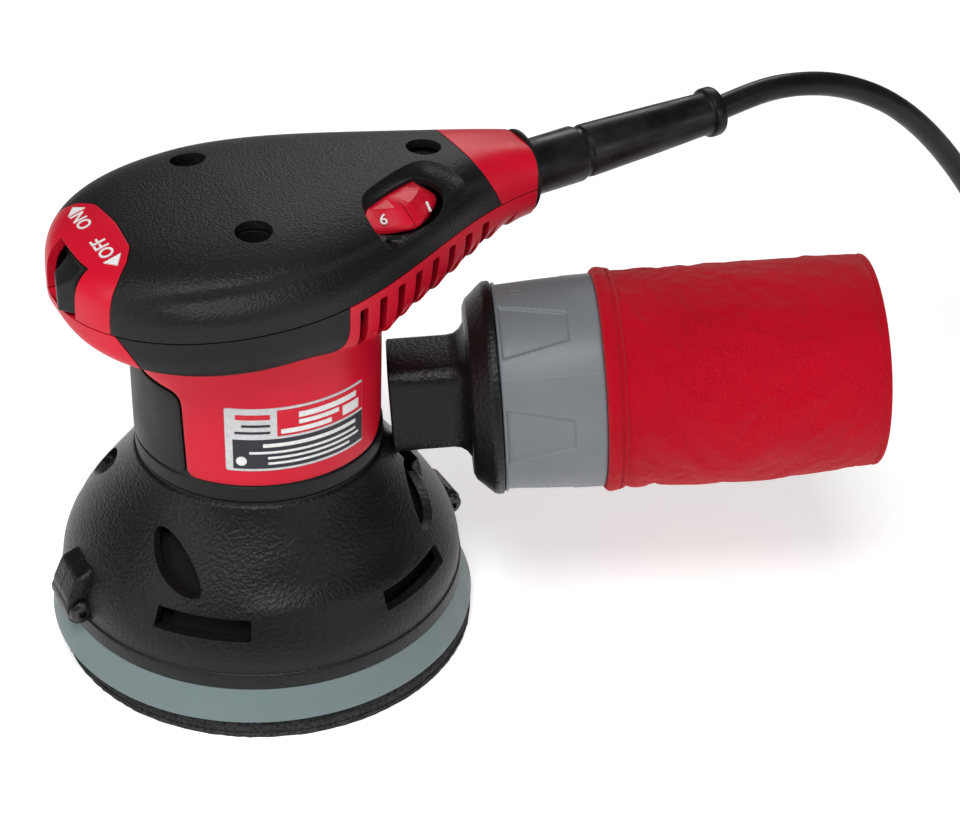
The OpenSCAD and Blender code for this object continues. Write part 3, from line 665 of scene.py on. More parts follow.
def make_cord():
    plug_x, plug_z = COIL_AT[0] - PLUG_OFFSET, 31.5
    points = ROUTE + coil_path() + [(plug_x, COIL_AT[1] - 1.0, plug_z), (plug_x, COIL_AT[1] + 3.0, plug_z)]
    data = bpy.data.curves.new("mains_cord", "CURVE")
    data.dimensions = "3D"
    data.bevel_depth = CORD_D / 2 * MM
    data.bevel_resolution = 5
    data.use_fill_caps = True
    data.resolution_u = 4
    line = data.splines.new("NURBS")
    line.points.add(len(points) - 1)
    for target, p in zip(line.points, points):
        target.co = (*(Vector(p) * MM), 1.0)
    line.order_u = 4
    line.use_endpoint_u = True
    obj = bpy.data.objects.new("mains_cord", data)
    bpy.context.scene.collection.objects.link(obj)
    obj.data.materials.append(MATS["cord_rubber"])
    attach(obj, "housing")
    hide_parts("cord", "cord_coil")
    length = sum((Vector(a) - Vector(b)).length for a, b in zip(points, points[1:]))
    return obj, length, plug_x, plug_z


def make_plug(x, z):
    """Moulded plug with finger grips, ribbed strain relief and two blades."""
    at = Matrix.Translation((x, COIL_AT[1], z)) @ Matrix.Rotation(math.radians(-90), 4, "X")
    rings = []
    stations = [(20.2, 0.60), (20.8, 0.86), (22.5, 0.97), (26, 1.0), (30, 0.93), (34, 0.90), (38, 0.95), (41.5, 1.0),
                (43.6, 1.0), (44.4, 0.95)]
    for s, k in stations:
        ring = []
        for i in range(48):
            a = 2 * math.pi * i / 48
            c, d = math.cos(a), math.sin(a)
            ring.append((12.4 * k * math.copysign(abs(c) ** 0.55, c), 8.9 * k ** 0.5 * math.copysign(abs(d) ** 0.6, d), s))
        rings.append(ring)
    body = loft("plug_body", rings, at)
    neck = [(0, 0)]
    for i in range(6):
        s = 0.4 + i * 3.3
        r = 4.7 + i * 0.25
        neck += [(r, s), (r, s + 2.1), (r - 0.7, s + 2.5), (r - 0.7, s + 3.0)]
    neck += [(6.0, 20.4), (0, 20.4)]
    relief = revolve("plug_relief", fillet(neck, 0.25, 2), 40, at)
    dress(body, "cord_rubber", "housing", "plug", angle=50)
    dress(relief, "cord_rubber", "housing", angle=50)
    blades = []
    for side in (-1, 1):
        blade = box(f"plug_blade_{side + 2}", (side * 6.35 - 0.75, -3.2, 44.2), (side * 6.35 + 0.75, 3.2, 61.9), at)
        hole = cylinder("hole", 1.5, -20, 20, at @ Matrix.Translation((0, 0, 57)) @ Matrix.Rotation(
            math.radians(90), 4, "Y"))
        cut(blade, hole)
        bevel(blade, 0.4, 2)
        blades.append(dress(blade, "brass", "housing", *(["plug_blades"] if side < 0 else [])))
    return [body, relief, *blades]


def make_tie():
    """Hook-and-loop strap round the coil's bundle."""
    r0, r1, top, t = 29.7, 52.4, 22.6, 1.1
    outline = fillet([(r0 - t, 0.02), (r1 + t, 0.02), (r1 + t, top + t), (r0 - t, top + t)], 2.5, 4)
    inner = fillet([(r0, 0.9), (r1, 0.9), (r1, top), (r0, top)], 2.0, 4)
    at = Matrix.Translation((COIL_AT[0], COIL_AT[1], 0)) @ Matrix.Rotation(math.radians(90), 4, "X")
    tie = prism("coil_tie_strap", outline, -4, 4, at)
    cut(tie, prism("inner", inner, -6, 6, at))
    bevel(tie, 0.25, 2)
    return dress(tie, "rubber_black", "housing", "coil_tie")


make_camera()
make_studio()
paint_cad_nodes()
cord, cord_length, plug_x, plug_z = make_cord()
plug_pieces = make_plug(plug_x, plug_z)
tie = make_tie()

# ------------------------------------------------------------------ palm grip


def rear_share(x):
    return (1 + math.cos(math.pi * min(max((x - WIDEST_X) / (WIDTH_END - WIDEST_X), 0), 1))) / 2


def nose_curve(x, inset, power):
    t = min(max((WIDEST_X - x) / (WIDEST_X - GRIP_FRONT - inset), 0), 1)
    return (1 - t ** power) ** (1 / power)


def grip_size(x, inset):
    """Half width, height over the parting line, depth under it."""
    if x < WIDEST_X:
        return ((GRIP_W - inset) * nose_curve(x, inset, 2.1), (GRIP_H - inset) * nose_curve(x, inset, 3.6),
                (16 - inset) * nose_curve(x, inset, 2.4))
    u = (x - WIDEST_X) / 89
    return (REAR_W + (GRIP_W - REAR_W) * rear_share(x) - inset, GRIP_H - 3.6 * u - 4.3 * u ** 5 - inset,
            16 + 9 * smooth((x - WIDEST_X) / 38) - 13 * smooth((x - 38) / 46) - inset)


def valley(x, degrees):
    """A soft hollow along each flank of the cover, between the crown and the lower shoulder."""
    side = min(degrees, 180 - degrees)
    along = smooth((x + 50) / 22) * smooth((74 - x) / 30)
    return 1.5 * along * math.exp(-((side - 24) / 8.0) ** 2) - 0.5 * along * math.exp(-((side - 7) / 5.0) ** 2)


def grip_point(x, degrees, inset=0.0):
    width, crown, belly = grip_size(x, inset)
    a = math.radians(degrees)
    up = degrees <= 180
    power = 2 / (3.2 if up else 5 - 2.5 * smooth((x - 5) / 35))
    c, s = math.cos(a), math.sin(a)
    y = math.copysign(abs(c) ** power, c)
    z = math.copysign(abs(s) ** power, s)
    if up and inset < 2:
        k = 1 - valley(x, degrees) / max(math.hypot(width * y, crown * z), 1.0)
        y, z = y * k, z * k
    return (x, width * y, PARTING_Z + PARTING_SLOPE * x + (crown if up else belly) * z)


LOUVRES = [12.4 + 7.1 * i for i in range(8)]


def under_step(x, degrees):
    """Saw-tooth inset of the grip's underside, one tooth to each louvre."""
    if not LOUVRES[0] - 1 < x < 76.5:
        return 0.0
    below = smooth((degrees - 196) / 24) * smooth((344 - degrees) / 24)
    return 1.1 * below * ((x - LOUVRES[0] + 1) % 7.1) / 7.1


def grip_solid(name, inset=0.0, end_inset=0.0, stations=90, sides=144, stepped=False):
    front, rear = GRIP_FRONT + inset + 0.05, GRIP_REAR - end_inset
    half = stations // 2
    xs = [WIDEST_X - (WIDEST_X - front) * math.cos(math.pi / 2 * i / half) for i in range(half)]
    xs += [WIDEST_X + (rear - WIDEST_X) * i / half for i in range(half + 1)]
    if stepped:
        edges = [LOUVRES[0] - 1 + 7.1 * k for k in range(10)]
        xs = [x for x in xs if all(abs(x - e) > 0.4 for e in edges)]
        xs = sorted(xs + [e - 0.12 for e in edges] + [e + 0.12 for e in edges])
    rings = []
    for x in xs:
        rings.append([grip_point(x, 360 * i / sides, inset + (under_step(x, 360 * i / sides) if stepped else 0))
                      for i in range(sides)])
    return loft(name, rings)


def surface_z(x, y):
    """Height of the cover over a plan position."""
    low, high = (0, 90) if y >= 0 else (90, 180)
    for _ in range(30):
        mid = (low + high) / 2
        at = grip_point(x, mid)[1]
        if at > y:
            low = mid
        else:
            high = mid
    return grip_point(x, mid)[2]


def over_parting(name, offset=0.0):
    at = Matrix.Translation((0, 0, PARTING_Z + offset)) @ Matrix.Rotation(-SLOPE_ANGLE, 4, "Y")
    return box(name, (-150, -100, 0), (150, 100, 90), at)


def side_prism(name, outline, y0=-80, y1=80):
    """An outline in XZ, extruded along Y."""
    return prism(name, outline, -y1, -y0, Matrix.Rotation(math.radians(90), 4, "X"))


def inlay_outline(grow):
    half = [(-50, -23.7 - grow), (-46.8, -21.9 - grow), (-42.6 + grow, -18.1 - grow), (-39.7 + grow, -13 - grow)]
    spine = [(-60, -23.7 - grow)] + half + [(-38.7 + grow, 0)] + [(x, -y) for x, y in reversed(half)]
    spine += [(-60, 23.7 + grow)]
    return [(-90, -23.7 - grow)] + fillet(spine, [0, 6, 6, 2.5, 5, 16, 5, 2.5, 6, 6, 0], 5) + [(-90, 23.7 + grow)]


def cap_outline(grow):
    front = [(57, 160), (61, 143.7), (62.3, 141.6), (65, 137.2), (68, 132), (69.9, 128.5)]
    return [(x - grow, z) for x, z in front] + [(120, 128.5), (120, 160)]


RECESS = [(22.4, -21.6), (25.3, -17.4), (31.8, -13.4), (38.7, -9.8), (45, -7.6), (49.1, -8.2), (52.1, -11.3),
          (54.5, -15.2), (55.8, -18.6), (50, -22.1), (43.5, -25.7), (38.1, -28.7), (32.9, -31.2), (28.1, -33.4),
          (24.1, -34.2), (21.6, -33.2), (21.0, -29.8), (21.2, -25.6)]
OPENING = [(24.6, -20.6, 141.2), (31.5, -16.6, 141.6), (38.2, -13.2, 141.6), (43.6, -11.0, 141.2), (46.8, -12.0, 140.6),
           (48.6, -14.6, 139.8), (48.8, -17.4, 139.0), (48.0, -20.0, 138.0), (46.4, -22.4, 137.0),
           (43.6, -24.8, 136.0), (40.2, -26.8, 135.4), (36.2, -28.2, 135.2), (32.2, -28.9, 135.2),
           (28.2, -29.0, 135.6), (24.6, -28.6, 136.4), (22.9, -27.4, 137.6), (22.6, -25.2, 139.2), (22.9, -22.6, 140.4)]


def closed_curve(points, steps):
    """Smooth closed loop through the points."""
    out = []
    n = len(points)
    for i in range(n):
        p0, p1, p2, p3 = (Vector(points[(i + k - 1) % n]) for k in range(4))
        for k in range(steps):
            t = k / steps
            out.append(0.5 * (2 * p1 + (p2 - p0) * t + (2 * p0 - 5 * p1 + 4 * p2 - p3) * t * t
                              + (3 * p1 - p0 - 3 * p2 + p3) * t ** 3))
    return out


def dial_scoop():
    """Moulded hollow from the cover's surface down to the wheel's opening."""
    outer = closed_curve(RECESS, 4)
    inner = closed_curve(OPENING, 4)
    rings = []
    steps = 7
    for k in range(steps + 1):
        t = k / steps
        ring = []
        for a, b in zip(outer, inner):
            top = surface_z(a[0], a[1]) - 0.05
            drop = math.sin(t * math.pi / 2) if k else 0.0
            out = 1 - math.cos(t * math.pi / 2)
            ring.append((a[0] + (b[0] - a[0]) * (0.25 * t + 0.75 * out), a[1] + (b[1] - a[1]) * (0.25 * t + 0.75 * out),
                         top + (b[2] - top) * (0.6 * drop + 0.4 * t)))
        rings.append(ring)
    rings.append([(b[0], b[1], b[2] - 2.0) for b in inner])
    scoop = loft("dial_scoop", rings, capped=False)
    mod = scoop.modifiers.new("wall", "SOLIDIFY")
    mod.thickness = 0.5 * MM
    mod.offset = -1
    settle(scoop)
    # The index mark is dressed near-black: painted shade on the scoop's wall.
    mark = box("dial_index", (-2.0, -0.45, -0.5), (2.0, 0.45, 0.35),
               Matrix.Translation((27.0, -31.6, 136.4)) @ Matrix.Rotation(math.radians(-12), 4, "Z")
               @ Matrix.Rotation(math.radians(50), 4, "X"))
    return scoop, mark


def screw_wells(name, radius, top=170):
    wells = [cylinder(name, radius, PARTING_Z + PARTING_SLOPE * x + 2, top, Matrix.Translation((x, y, 0)), 40)
             for x, y in ((-9.5, 23), (-9.5, -23), (52, 0))]
    for other in wells[1:]:
        add(wells[0], other)
    return wells[0]


def slider_slot(name, grow=0.0):
    outline = [(-70, -12.0 - grow), (-47, -12.0 - grow), (-47, 7 + grow), (-70, 7 + grow)]
    return prism(name, outline, 121.6 - grow, 135.6 + grow)


def make_grip():
    shell = grip_solid("shell")
    cut(shell, grip_solid("core", 2.4, 2.0, 40, 64))
    upper = keep(copy(shell, "upper"), over_parting("half"))
    cover = copy(upper, "grip_cover")
    cut(cover, prism("nose", inlay_outline(0.14), 90, 170), side_prism("rear", cap_outline(0.14)),
        screw_wells("wells", 5.0), prism("recess", [(p[0], p[1]) for p in closed_curve(RECESS, 4)], 128, 170))
    dress(cover, "cover_black", "housing", "top_cover")
    scoop, mark = dial_scoop()
    dress(scoop, "cover_black", "housing", angle=60)
    dress(mark, SHADOW, "housing", slot="cover_black")
    bosses = screw_wells("screw_wells", 6.2, 140)
    keep(bosses, grip_solid("inside", 0.4, 1.0, 60, 96))
    cut(bosses, screw_wells("bore", 5.0))
    dress(bosses, "cover_black", "housing")

    inlay = keep(copy(upper, "nose_panel"), prism("nose", inlay_outline(-0.08), 90, 170))
    cut(inlay, slider_slot("slot"))
    dress(inlay, "housing_red", "housing", "nose_inlay")
    cap = keep(upper, side_prism("rear", cap_outline(-0.08)))
    cap.name = "tail_cap"
    cut(cap, cylinder("hole", 9.0, -30, 40, along_x(RELIEF)))
    dress(cap, "housing_red", "housing", "rear_cap")

    base = grip_solid("grip_base", stepped=True)
    cut(base, grip_solid("core", 3.4, 2.0, 40, 64), over_parting("half", -0.4))
    bpy.data.objects.remove(shell)
    band_side = fillet([(-43.5, 111.5), (9, 111.5), (9, 140), (-59.6, 140)], [0, 7.5, 0, 0], 8)
    space = side_prism("space", band_side)
    cut(space, grip_solid("skin", 1.2, 2.0, 60, 96))
    cut(base, cylinder("neck", 36.1, 80, 118, None, 128), space, slider_slot("slot"),
        cylinder("hole", 9.0, -30, 40, along_x(RELIEF)))
    for x in LOUVRES:
        z = PARTING_Z + PARTING_SLOPE * (x + 1.45)
        louvre = fillet([(x, z - 15), (x + 2.9, z - 15), (x + 2.9, z - 3), (x, z - 3)], 0.7, 3)
        cut(base, side_prism("louvre", louvre))
    dress(base, "housing_red", "housing", "handle_base")
    band = grip_solid("grip_pad", -0.02)
    cut(band, over_parting("half", -0.4))
    side = fillet([(-43.35, 111.65), (8.85, 111.65), (8.85, 140), (-59.4, 140)], [0, 7.4, 0, 0], 8)
    keep(band, side_prism("space", side))
    cut(band, grip_solid("skin", 1.3, 2.0, 60, 96))
    dress(band, "overmold_black", "housing", "grip_band")


def text_piece(name, words, size, at, depth=0.12, weight=0.0):
    """Raised ink lettering."""
    data = bpy.data.curves.new(name, "FONT")
    data.body = words
    data.size = size * MM
    data.extrude = depth * MM
    data.offset = weight * MM
    data.align_x, data.align_y = "CENTER", "CENTER"
    data.resolution_u = 3
    obj = bpy.data.objects.new(name, data)
    bpy.context.scene.collection.objects.link(obj)
    bpy.context.view_layer.update()
    out = bpy.data.objects.new(name, bpy.data.meshes.new_from_object(obj.evaluated_get(
        bpy.context.evaluated_depsgraph_get())))
    bpy.data.objects.remove(obj)
    bpy.context.scene.collection.objects.link(out)
    placed = at.copy()
    placed.translation = placed.translation * MM
    out.data.transform(placed)
    return out


def surface_frame(x, y, turn=0.0, lift=0.05):
    """Frame lying on the grip's surface, its Y axis turned from +Y about the surface normal."""
    p = Vector((x, y, surface_z(x, y)))
    dx = Vector((x + 0.5, y, surface_z(x + 0.5, y))) - p
    dy = Vector((x, y + 0.5, surface_z(x, y + 0.5))) - p
    n = dx.cross(dy).normalized()
    side = dx.normalized()
    side = Matrix.Rotation(math.radians(turn), 3, n) @ side
    up = n.cross(side)
    return Matrix.Translation(p + n * lift) @ Matrix((side, up, n)).transposed().to_4x4()


def make_switch_marks():
    pieces = []
    for words, y in (("ON", 8.2), ("OFF", -8.2)):
        size = 5.6
        at = surface_frame(-45.3, y, 90)
        pieces.append(text_piece("mark_" + words.lower(), words, size, at, 0.1, 0.09))
        reach = 1 if y > 0 else -1
        arrow = [(-2.6, 0), (2.6, 0), (0, 3.6)]
        tip = surface_frame(-45.0, y + reach * (5.2 if y > 0 else 5.8), 0 if reach > 0 else 180)
        pieces.append(prism("mark_arrow_" + words.lower(), arrow, -0.4, 0.18, tip))
    for piece in pieces:
        dress(piece, INK, "housing", slot="label")


def make_slider():
    wedge = [(-50, -11.4), (-54.8, -11.4), (-58.4, -7.4), (-57, -1.8), (-50, -1.8)]
    slider = prism("slide_button", wedge, 122.6, 135.3)
    top = box("top", (-20, -20, 0), (20, 20, 10),
              Matrix.Translation((-58.4, -7.4, 129.6)) @ Matrix.Rotation(math.radians(-46), 4, "Y"))
    cut(slider, top)
    bevel(slider, 0.45, 3)
    dress(slider, "overmold_black", "switch", "switch_slider")
    # Painted shade: a near-black sheet behind the switch slot, so the slot reads dark.
    back = keep(box("slot_shade_screen", (-50.4, -14.5, 118.8), (-49.6, 8.4, 136.4)),
                grip_solid("core", 3.3, 2.0, 40, 64))
    dress(back, SHADOW, "housing", slot="inner_plastic")
    # Painted shade: a near-black sheet inside the grip that stops light showing through the louvres and the gap by the
    # dial.
    rib = keep(box("grip_shade_sheet", (12, 7.2, 105), (79, 8.6, 133)), grip_solid("core", 3.6, 2.4, 30, 48))
    dress(rib, SHADOW, "housing", slot="inner_plastic")


def make_dial():
    """Six-sided wheel: hollowed grips round the edge, soft corners, numerals on the grips."""
    rings = []
    profile = [(16.2, 134.9), (16.9, 135.4), (16.9, 136.6), (16.4, 137.2), (12.6, 139.7), (11.9, 140.25), (0.6, 140.6)]
    first = -17.0
    for r, z in profile:
        ring = []
        for i in range(120):
            a = 360 * i / 120
            part = ((a - first) % 60) / 60
            flat = math.cos(math.radians(30)) / math.cos(math.radians(60 * part - 30))
            mixed = 0.42 * flat + 0.58
            scoop = 0.7 * math.sin(math.pi * part) ** 2 if 134.9 < z < 139.9 else 0.0
            rr = min(r * mixed * 1.03, 16.95) - scoop * (r > 5)
            ring.append((rr * math.cos(math.radians(a)), rr * math.sin(math.radians(a)), z))
        rings.append(ring)
    at = Matrix.Translation((*DIAL_AT, 0))
    dial = loft("dial_wheel", rings, at)
    for k in range(6):
        a = math.radians(first + 60 * k)
        groove = box("groove", (8.8, -0.22, 138.9), (20, 0.22, 141),
                     at @ Matrix.Rotation(a, 4, "Z") @ Matrix.Translation((12.0, 0, 139.9)) @ Matrix.Rotation(
                         math.radians(33), 4, "Y") @ Matrix.Translation((-12.0, 0, -139.9)))
        cut(dial, groove)
    add(dial, cylinder("pin", 2.9, 128.6, 136, at))
    dress(dial, "housing_red", "dial", "speed_dial", angle=48)
    for k in range(6):
        mid = math.radians(first - 30 - 60 * (k + 1) + 60)
        words = "" if k == 0 else str(7 - k)
        slope = Matrix.Rotation(mid, 4, "Z") @ Matrix.Translation((14.35, 0, 138.45)) @ Matrix.Rotation(
            math.radians(33.5), 4, "Y")
        if words:
            piece = text_piece("dial_number_" + words, words, 4.6,
                               at @ slope @ Matrix.Rotation(math.radians(90), 4, "Z"), 0.12, 0.05)
        else:
            piece = box("dial_tick", (-0.3, -1.7, -0.3), (0.3, 1.7, 0.25),
                        at @ slope @ Matrix.Translation((1.2, 0.6, 0)) @ Matrix.Rotation(math.radians(45), 4, "Z"))
        dress(piece, INK, "dial", slot="label")


def make_relief():
    """Cord guard: smooth sleeve, groove, taper with a collar at its end."""
    profile = [(3.85, -17), (9.1, -17), (9.1, -14.8), (8.3, -14.6), (8.4, 10.2), (8.15, 10.9), (7.2, 11.3), (7.1, 12.0),
               (7.15, 12.9), (7.8, 13.4), (7.95, 14.2), (7.2, 38), (6.45, 55.2), (6.7, 55.9), (7.45, 56.3),
               (7.6, 57.0), (7.6, 59.0), (7.3, 59.7), (6.6, 60), (3.85, 60)]
    relief = revolve("cord_guard", profile, 72, along_x(RELIEF))
    dress(relief, "rubber_black", "housing", "strain_relief", angle=40)
    ring = revolve("tail_ring", [(9.2, 0.0), (11.7, 0.0), (12.2, 0.3), (12.35, 0.8), (12.2, 1.3), (11.7, 1.6),
                                 (9.2, 1.6)], 72, along_x(Matrix.Translation((GRIP_REAR, 0, 130.0))))
    dress(ring, "overmold_black", "housing", "relief_ring")


make_grip()
make_switch_marks()
make_slider()
make_dial()
make_relief()

# ------------------------------------------------------------------ motor housing and label


def on_cylinder(radius):
    """Patch placement: u in degrees about Z, v as height."""
    def place(u, v, height):
        a = math.radians(u)
        return ((radius + height) * math.cos(a), (radius + height) * math.sin(a), v)
    return place


def arc_patch(name, outline, radius, thickness, spacing=2.0):
    """A patch on a cylinder about Z, its outline in millimetres of arc and height."""
    def place(u, v, height):
        a = u / radius
        return ((radius + height) * math.cos(a), (radius + height) * math.sin(a), v)
    return patch(name, outline, place, thickness, spacing)


def arc(degrees, radius=NECK_R):
    return math.radians(degrees) * radius


def make_motor_housing():
    profile = fillet([(33.0, NECK_Z + 0.15), (35.9, NECK_Z + 0.15), (35.9, 68.0), (35.35, 68.6), (35.35, HOUSING_TOP),
                      (33.0, HOUSING_TOP)], [0.3, 0.9, 0.3, 0.3, 0, 0], 4)
    sleeve = revolve("motor_sleeve", profile, 192)
    dress(sleeve, "overmold_black", "housing", "housing_front_panel", "housing_rear_panel", "bottom_collar")
    for side in (-1, 1):
        name = "left" if side < 0 else "right"
        outline = [(-184, 113), (-179, 100), (-168, 96.5), (-145, 95.5), (-143.5, 69.2), (-38, 69.2), (-38, 113)]
        outline = [(arc(a), z) for a, z in outline]
        outline = fillet(outline, [0, 6, 8, 4.5, 3.2, 11, 0], 8)
        if side > 0:
            outline = [(-u, v) for u, v in outline]
        shell = arc_patch(f"side_panel_{name}", trim_front(outline, side), NECK_R - 0.75, 0.85)
        bevel(shell, 0.3, 2, 50)
        dress(shell, "housing_red", "housing", *(["motor_housing"] if side < 0 else []))
    # front overmould stands level with the red
    outline = fillet([(arc(-214.5), 69.2), (arc(-144.7), 69.2), (arc(-146.2), 94.6), (arc(-168), 95.4),
                      (arc(-178.6), 98.8), (arc(-180), 101.5), (arc(-181.4), 98.8), (arc(-192), 95.4),
                      (arc(-213.8), 94.6)], [2.6, 2.6, 3.9, 6, 2, 1, 2, 6, 3.9], 6)
    front = arc_patch("front_overmould", outline, NECK_R - 0.75, 0.72)
    bevel(front, 0.25, 2, 50)
    dress(front, "overmold_black", "housing")


def trim_front(outline, side):
    """Stops a side panel at the tool's front centre line."""
    limit = arc(-179.9)
    return [(max(u, limit), v) for u, v in outline] if side < 0 else [(min(u, -limit), v) for u, v in outline]


def make_label():
    """Blank rating plate: a frame, a dark field and plain bars in place of print."""
    def plate(name, a0, a1, z0, z1, level, thick, corner):
        outline = fillet([(arc(a0), z0), (arc(a1), z0), (arc(a1), z1), (arc(a0), z1)], corner, 4)
        return arc_patch(name, outline, NECK_R + level, thick, 1.6)
    base = plate("plate_base", -126.2, -60.0, 74.3, 94.6, -0.4, 0.62, 0.8)
    dress(base, "label", "housing", "rating_plate")
    parts = [("plate_field", -125.0, -61.2, 75.1, 84.6, INK_DARK), ("plate_block", -105.5, -61.2, 85.4, 93.8, "housing_red"),
             ("plate_bar_1", -96.0, -65.5, 90.6, 92.4, INK), ("plate_bar_2", -96.0, -76.0, 88.5, 89.9, INK),
             ("plate_bar_3", -104.0, -80.0, 86.1, 87.6, INK), ("plate_bar_4", -74.0, -64.0, 86.4, 89.6, INK),
             ("plate_line_1", -112.0, -66.0, 82.0, 83.2, INK), ("plate_line_2", -118.0, -66.0, 79.9, 80.7, INK),
             ("plate_line_3", -110.0, -64.0, 78.1, 78.9, INK), ("plate_line_4", -110.0, -70.0, 76.3, 77.1, INK),
             ("plate_print_1", -123.5, -108.5, 91.0, 92.6, "housing_red"), ("plate_print_2", -121.0, -108.5, 88.6, 89.4, INK_DARK),
             ("plate_print_3", -124.0, -108.5, 86.4, 87.2, INK_DARK)]
    for name, a0, a1, z0, z1, ink in parts:
        level = 0.2 if ink is not INK or "line" not in name and "bar" not in name else 0.24
        piece = plate(name, a0, a1, z0, z1, level, 0.06, 0.25)
        dress(piece, ink, "housing", slot="label")
    dot = arc_patch("plate_dot", [(arc(-121.5) + 1.5 * math.cos(2 * math.pi * i / 24),
                                   77.6 + 1.5 * math.sin(2 * math.pi * i / 24)) for i in range(24)],
                    NECK_R + 0.24, 0.06, 1.5)
    dress(dot, INK, "housing", slot="label")


# ------------------------------------------------------------------ shroud, skirt and pad


def dome(t):
    p = ((RIM_R, 24), (RIM_R - 0.9, 38), (NECK_R + 6, 50), (NECK_R, NECK_Z))
    w = ((1 - t) ** 3, 3 * (1 - t) ** 2 * t, 3 * (1 - t) * t * t, t ** 3)
    return tuple(sum(k * q[i] for k, q in zip(w, p)) for i in (0, 1))


def lens_cutter(name, azimuth, height, side):
    """Almond-shaped window, cut radially; side mirrors its lean."""
    points = []
    for i in range(48):
        t = 2 * math.pi * i / 48
        u, v = 11.2 * math.cos(t), 4.2 * math.sin(t) * abs(math.sin(t)) ** 0.2
        lean = math.radians(-31) * side
        points.append((u * math.cos(lean) - v * math.sin(lean), u * math.sin(lean) + v * math.cos(lean)))
    rings = []
    for r in (30, 75):
        rings.append([(r * math.cos(math.radians(azimuth) + u / 47), r * math.sin(math.radians(azimuth) + u / 47),
                       height + v) for u, v in points])
    return loft(name, rings)


TAB_X = 60.0


def make_shroud():
    outer = [dome(i / 28) for i in range(29)]
    inner = [(r - 2.5, z - 0.4) for r, z in reversed(outer)][1:]
    profile = [(57.0, RIM_Z), (59.95, RIM_Z), (60.0, 20.6), (59.85, 21.1), (59.45, 21.4)] + outer[:-1]
    profile += [(36.7, 61.6), (36.35, 62.1), (35.7, 62.4), (35.5, NECK_Z), (33.4, NECK_Z), (33.4, 60.5)] + inner[1:]

    def ledge(a, r, z):
        """Flattened lower face between the two slots on each side, under a soft crease."""
        if z > 60 or z < 22:
            return 0.0
        offset = abs(abs(a if a <= 180 else a - 360) - 90)
        across = smooth((34 - offset) / 16)
        return 0.9 * across * math.exp(-((z - 38.5) / 2.6) ** 2) - 0.5 * across * math.exp(-((z - 44) / 4.0) ** 2)

    whole = revolve("shroud", profile, 288, shift=ledge)
    for side in (-1, 1):
        name = "shroud_left" if side < 0 else "shroud_right"
        half = keep(copy(whole, name + "_moulding"),
                    box("half", (-90, -90 if side < 0 else 0.09, 0), (90, -0.09 if side < 0 else 90, 90)))
        for x in (-TAB_X, TAB_X):
            across = Matrix.Translation((x, 0, 23)) @ Matrix.Rotation(math.radians(-90), 4, "X")
            y0, y1 = (-7.4, 3) if side < 0 else (-3, 7.4)
            if x < 0:
                fin = fillet([(x - 3.5, 18.8), (x - 3.4, 27), (x - 0.2, 33.6), (x + 5.4, 36), (x + 2.6, 17.4),
                              (x - 1.2, 17.4)], [3.2, 5, 4, 0, 0, 3.2], 8)
            else:
                fin = fillet([(x + 3.2, 18.8), (x + 3.0, 25.2), (x - 0.4, 28.6), (x - 3, 28.8), (x - 2.6, 17.4),
                              (x + 1.2, 17.4)], [3, 3, 2, 0, 0, 3], 8)
            tab = bevel(side_prism("tab", fin, y0, y1), 1.9, 5)
            add(tab, bevel(cylinder("boss", 4.0, y0, y1, across), 0.9, 3))
            keep(tab, box("half", (-90, -90 if side < 0 else 0.09, 0), (90, -0.09 if side < 0 else 90, 90)))
            add(half, tab)
            cut(half, cylinder("hole", 2.0, -30, 30, across, 32),
                cylinder("scallop", 3.9, *((7.4, 10.4) if side < 0 else (-10.4, -7.4)), across, 40))
        for azimuth, lean in ((-144.3, 1), (-35.7, -1)):
            cut(half, lens_cutter("lens", azimuth * -side, 46.8, lean * -side))
        for a0 in (-145, -75.5):
            start = a0 if side < 0 else -a0 - 28.5
            cut(half, slot_cutter(start, 28.5))
        if side < 0:
            cut(half, box("notch", (37.6, -0.2, -30), (45.2, 10.2, 0), DUCT))
        dress(half, "shroud_black", "housing", name)
    bpy.data.objects.remove(whole)


def make_fan_shade_cone():
    """Thin near-black cone round the fan, 3 mm behind the shroud's wall: painted shade seen through the slots and lens
    windows.
    """
    curve = [dome(0.04 + 0.68 * i / 24) for i in range(25)]
    outer = [(r - 5.7, z - 0.6) for r, z in curve]
    shade_cone = revolve("fan_shade_cone", outer + [(r - 0.6, z) for r, z in reversed(outer)], 144)
    dress(shade_cone, SHADOW, "housing", slot="inner_plastic")


def slot_cutter(start, sweep):
    """Rounded slot through the shroud's lower wall."""
    section = [(45, 31.3), (72, 31.3), (72, 36.9), (45, 36.9)]
    return revolve("slot", section, 24, start=start, sweep=sweep)


def make_shroud_screws():
    """Pan-head screws with a star recess, their shanks reaching through to the far side."""
    for i, x in enumerate((-TAB_X, TAB_X)):
        at = Matrix.Translation((x, 0, 23)) @ Matrix.Rotation(math.radians(90), 4, "X")
        head = revolve(f"shroud_screw_{i}", [(0, 6.9), (0, 7.5), (3.3, 7.5), (3.55, 7.9), (3.4, 8.7), (2.7, 9.3), (1.6, 9.6),
                                             (0, 9.65)][1:], 40, at)
        star = [((1.75 if k % 2 else 1.1) * math.cos(math.pi * k / 6), (1.75 if k % 2 else 1.1) * math.sin(math.pi * k / 6))
                for k in range(12)]
        cut(head, prism("star", fillet(star, 0.3, 3), 8.4, 12, at))
        add(head, cylinder("shank", 1.75, -7, 7.7, at))
        dress(head, DARK_STEEL, "housing", *(["shroud_screws"] if i == 0 else []), slot="steel")


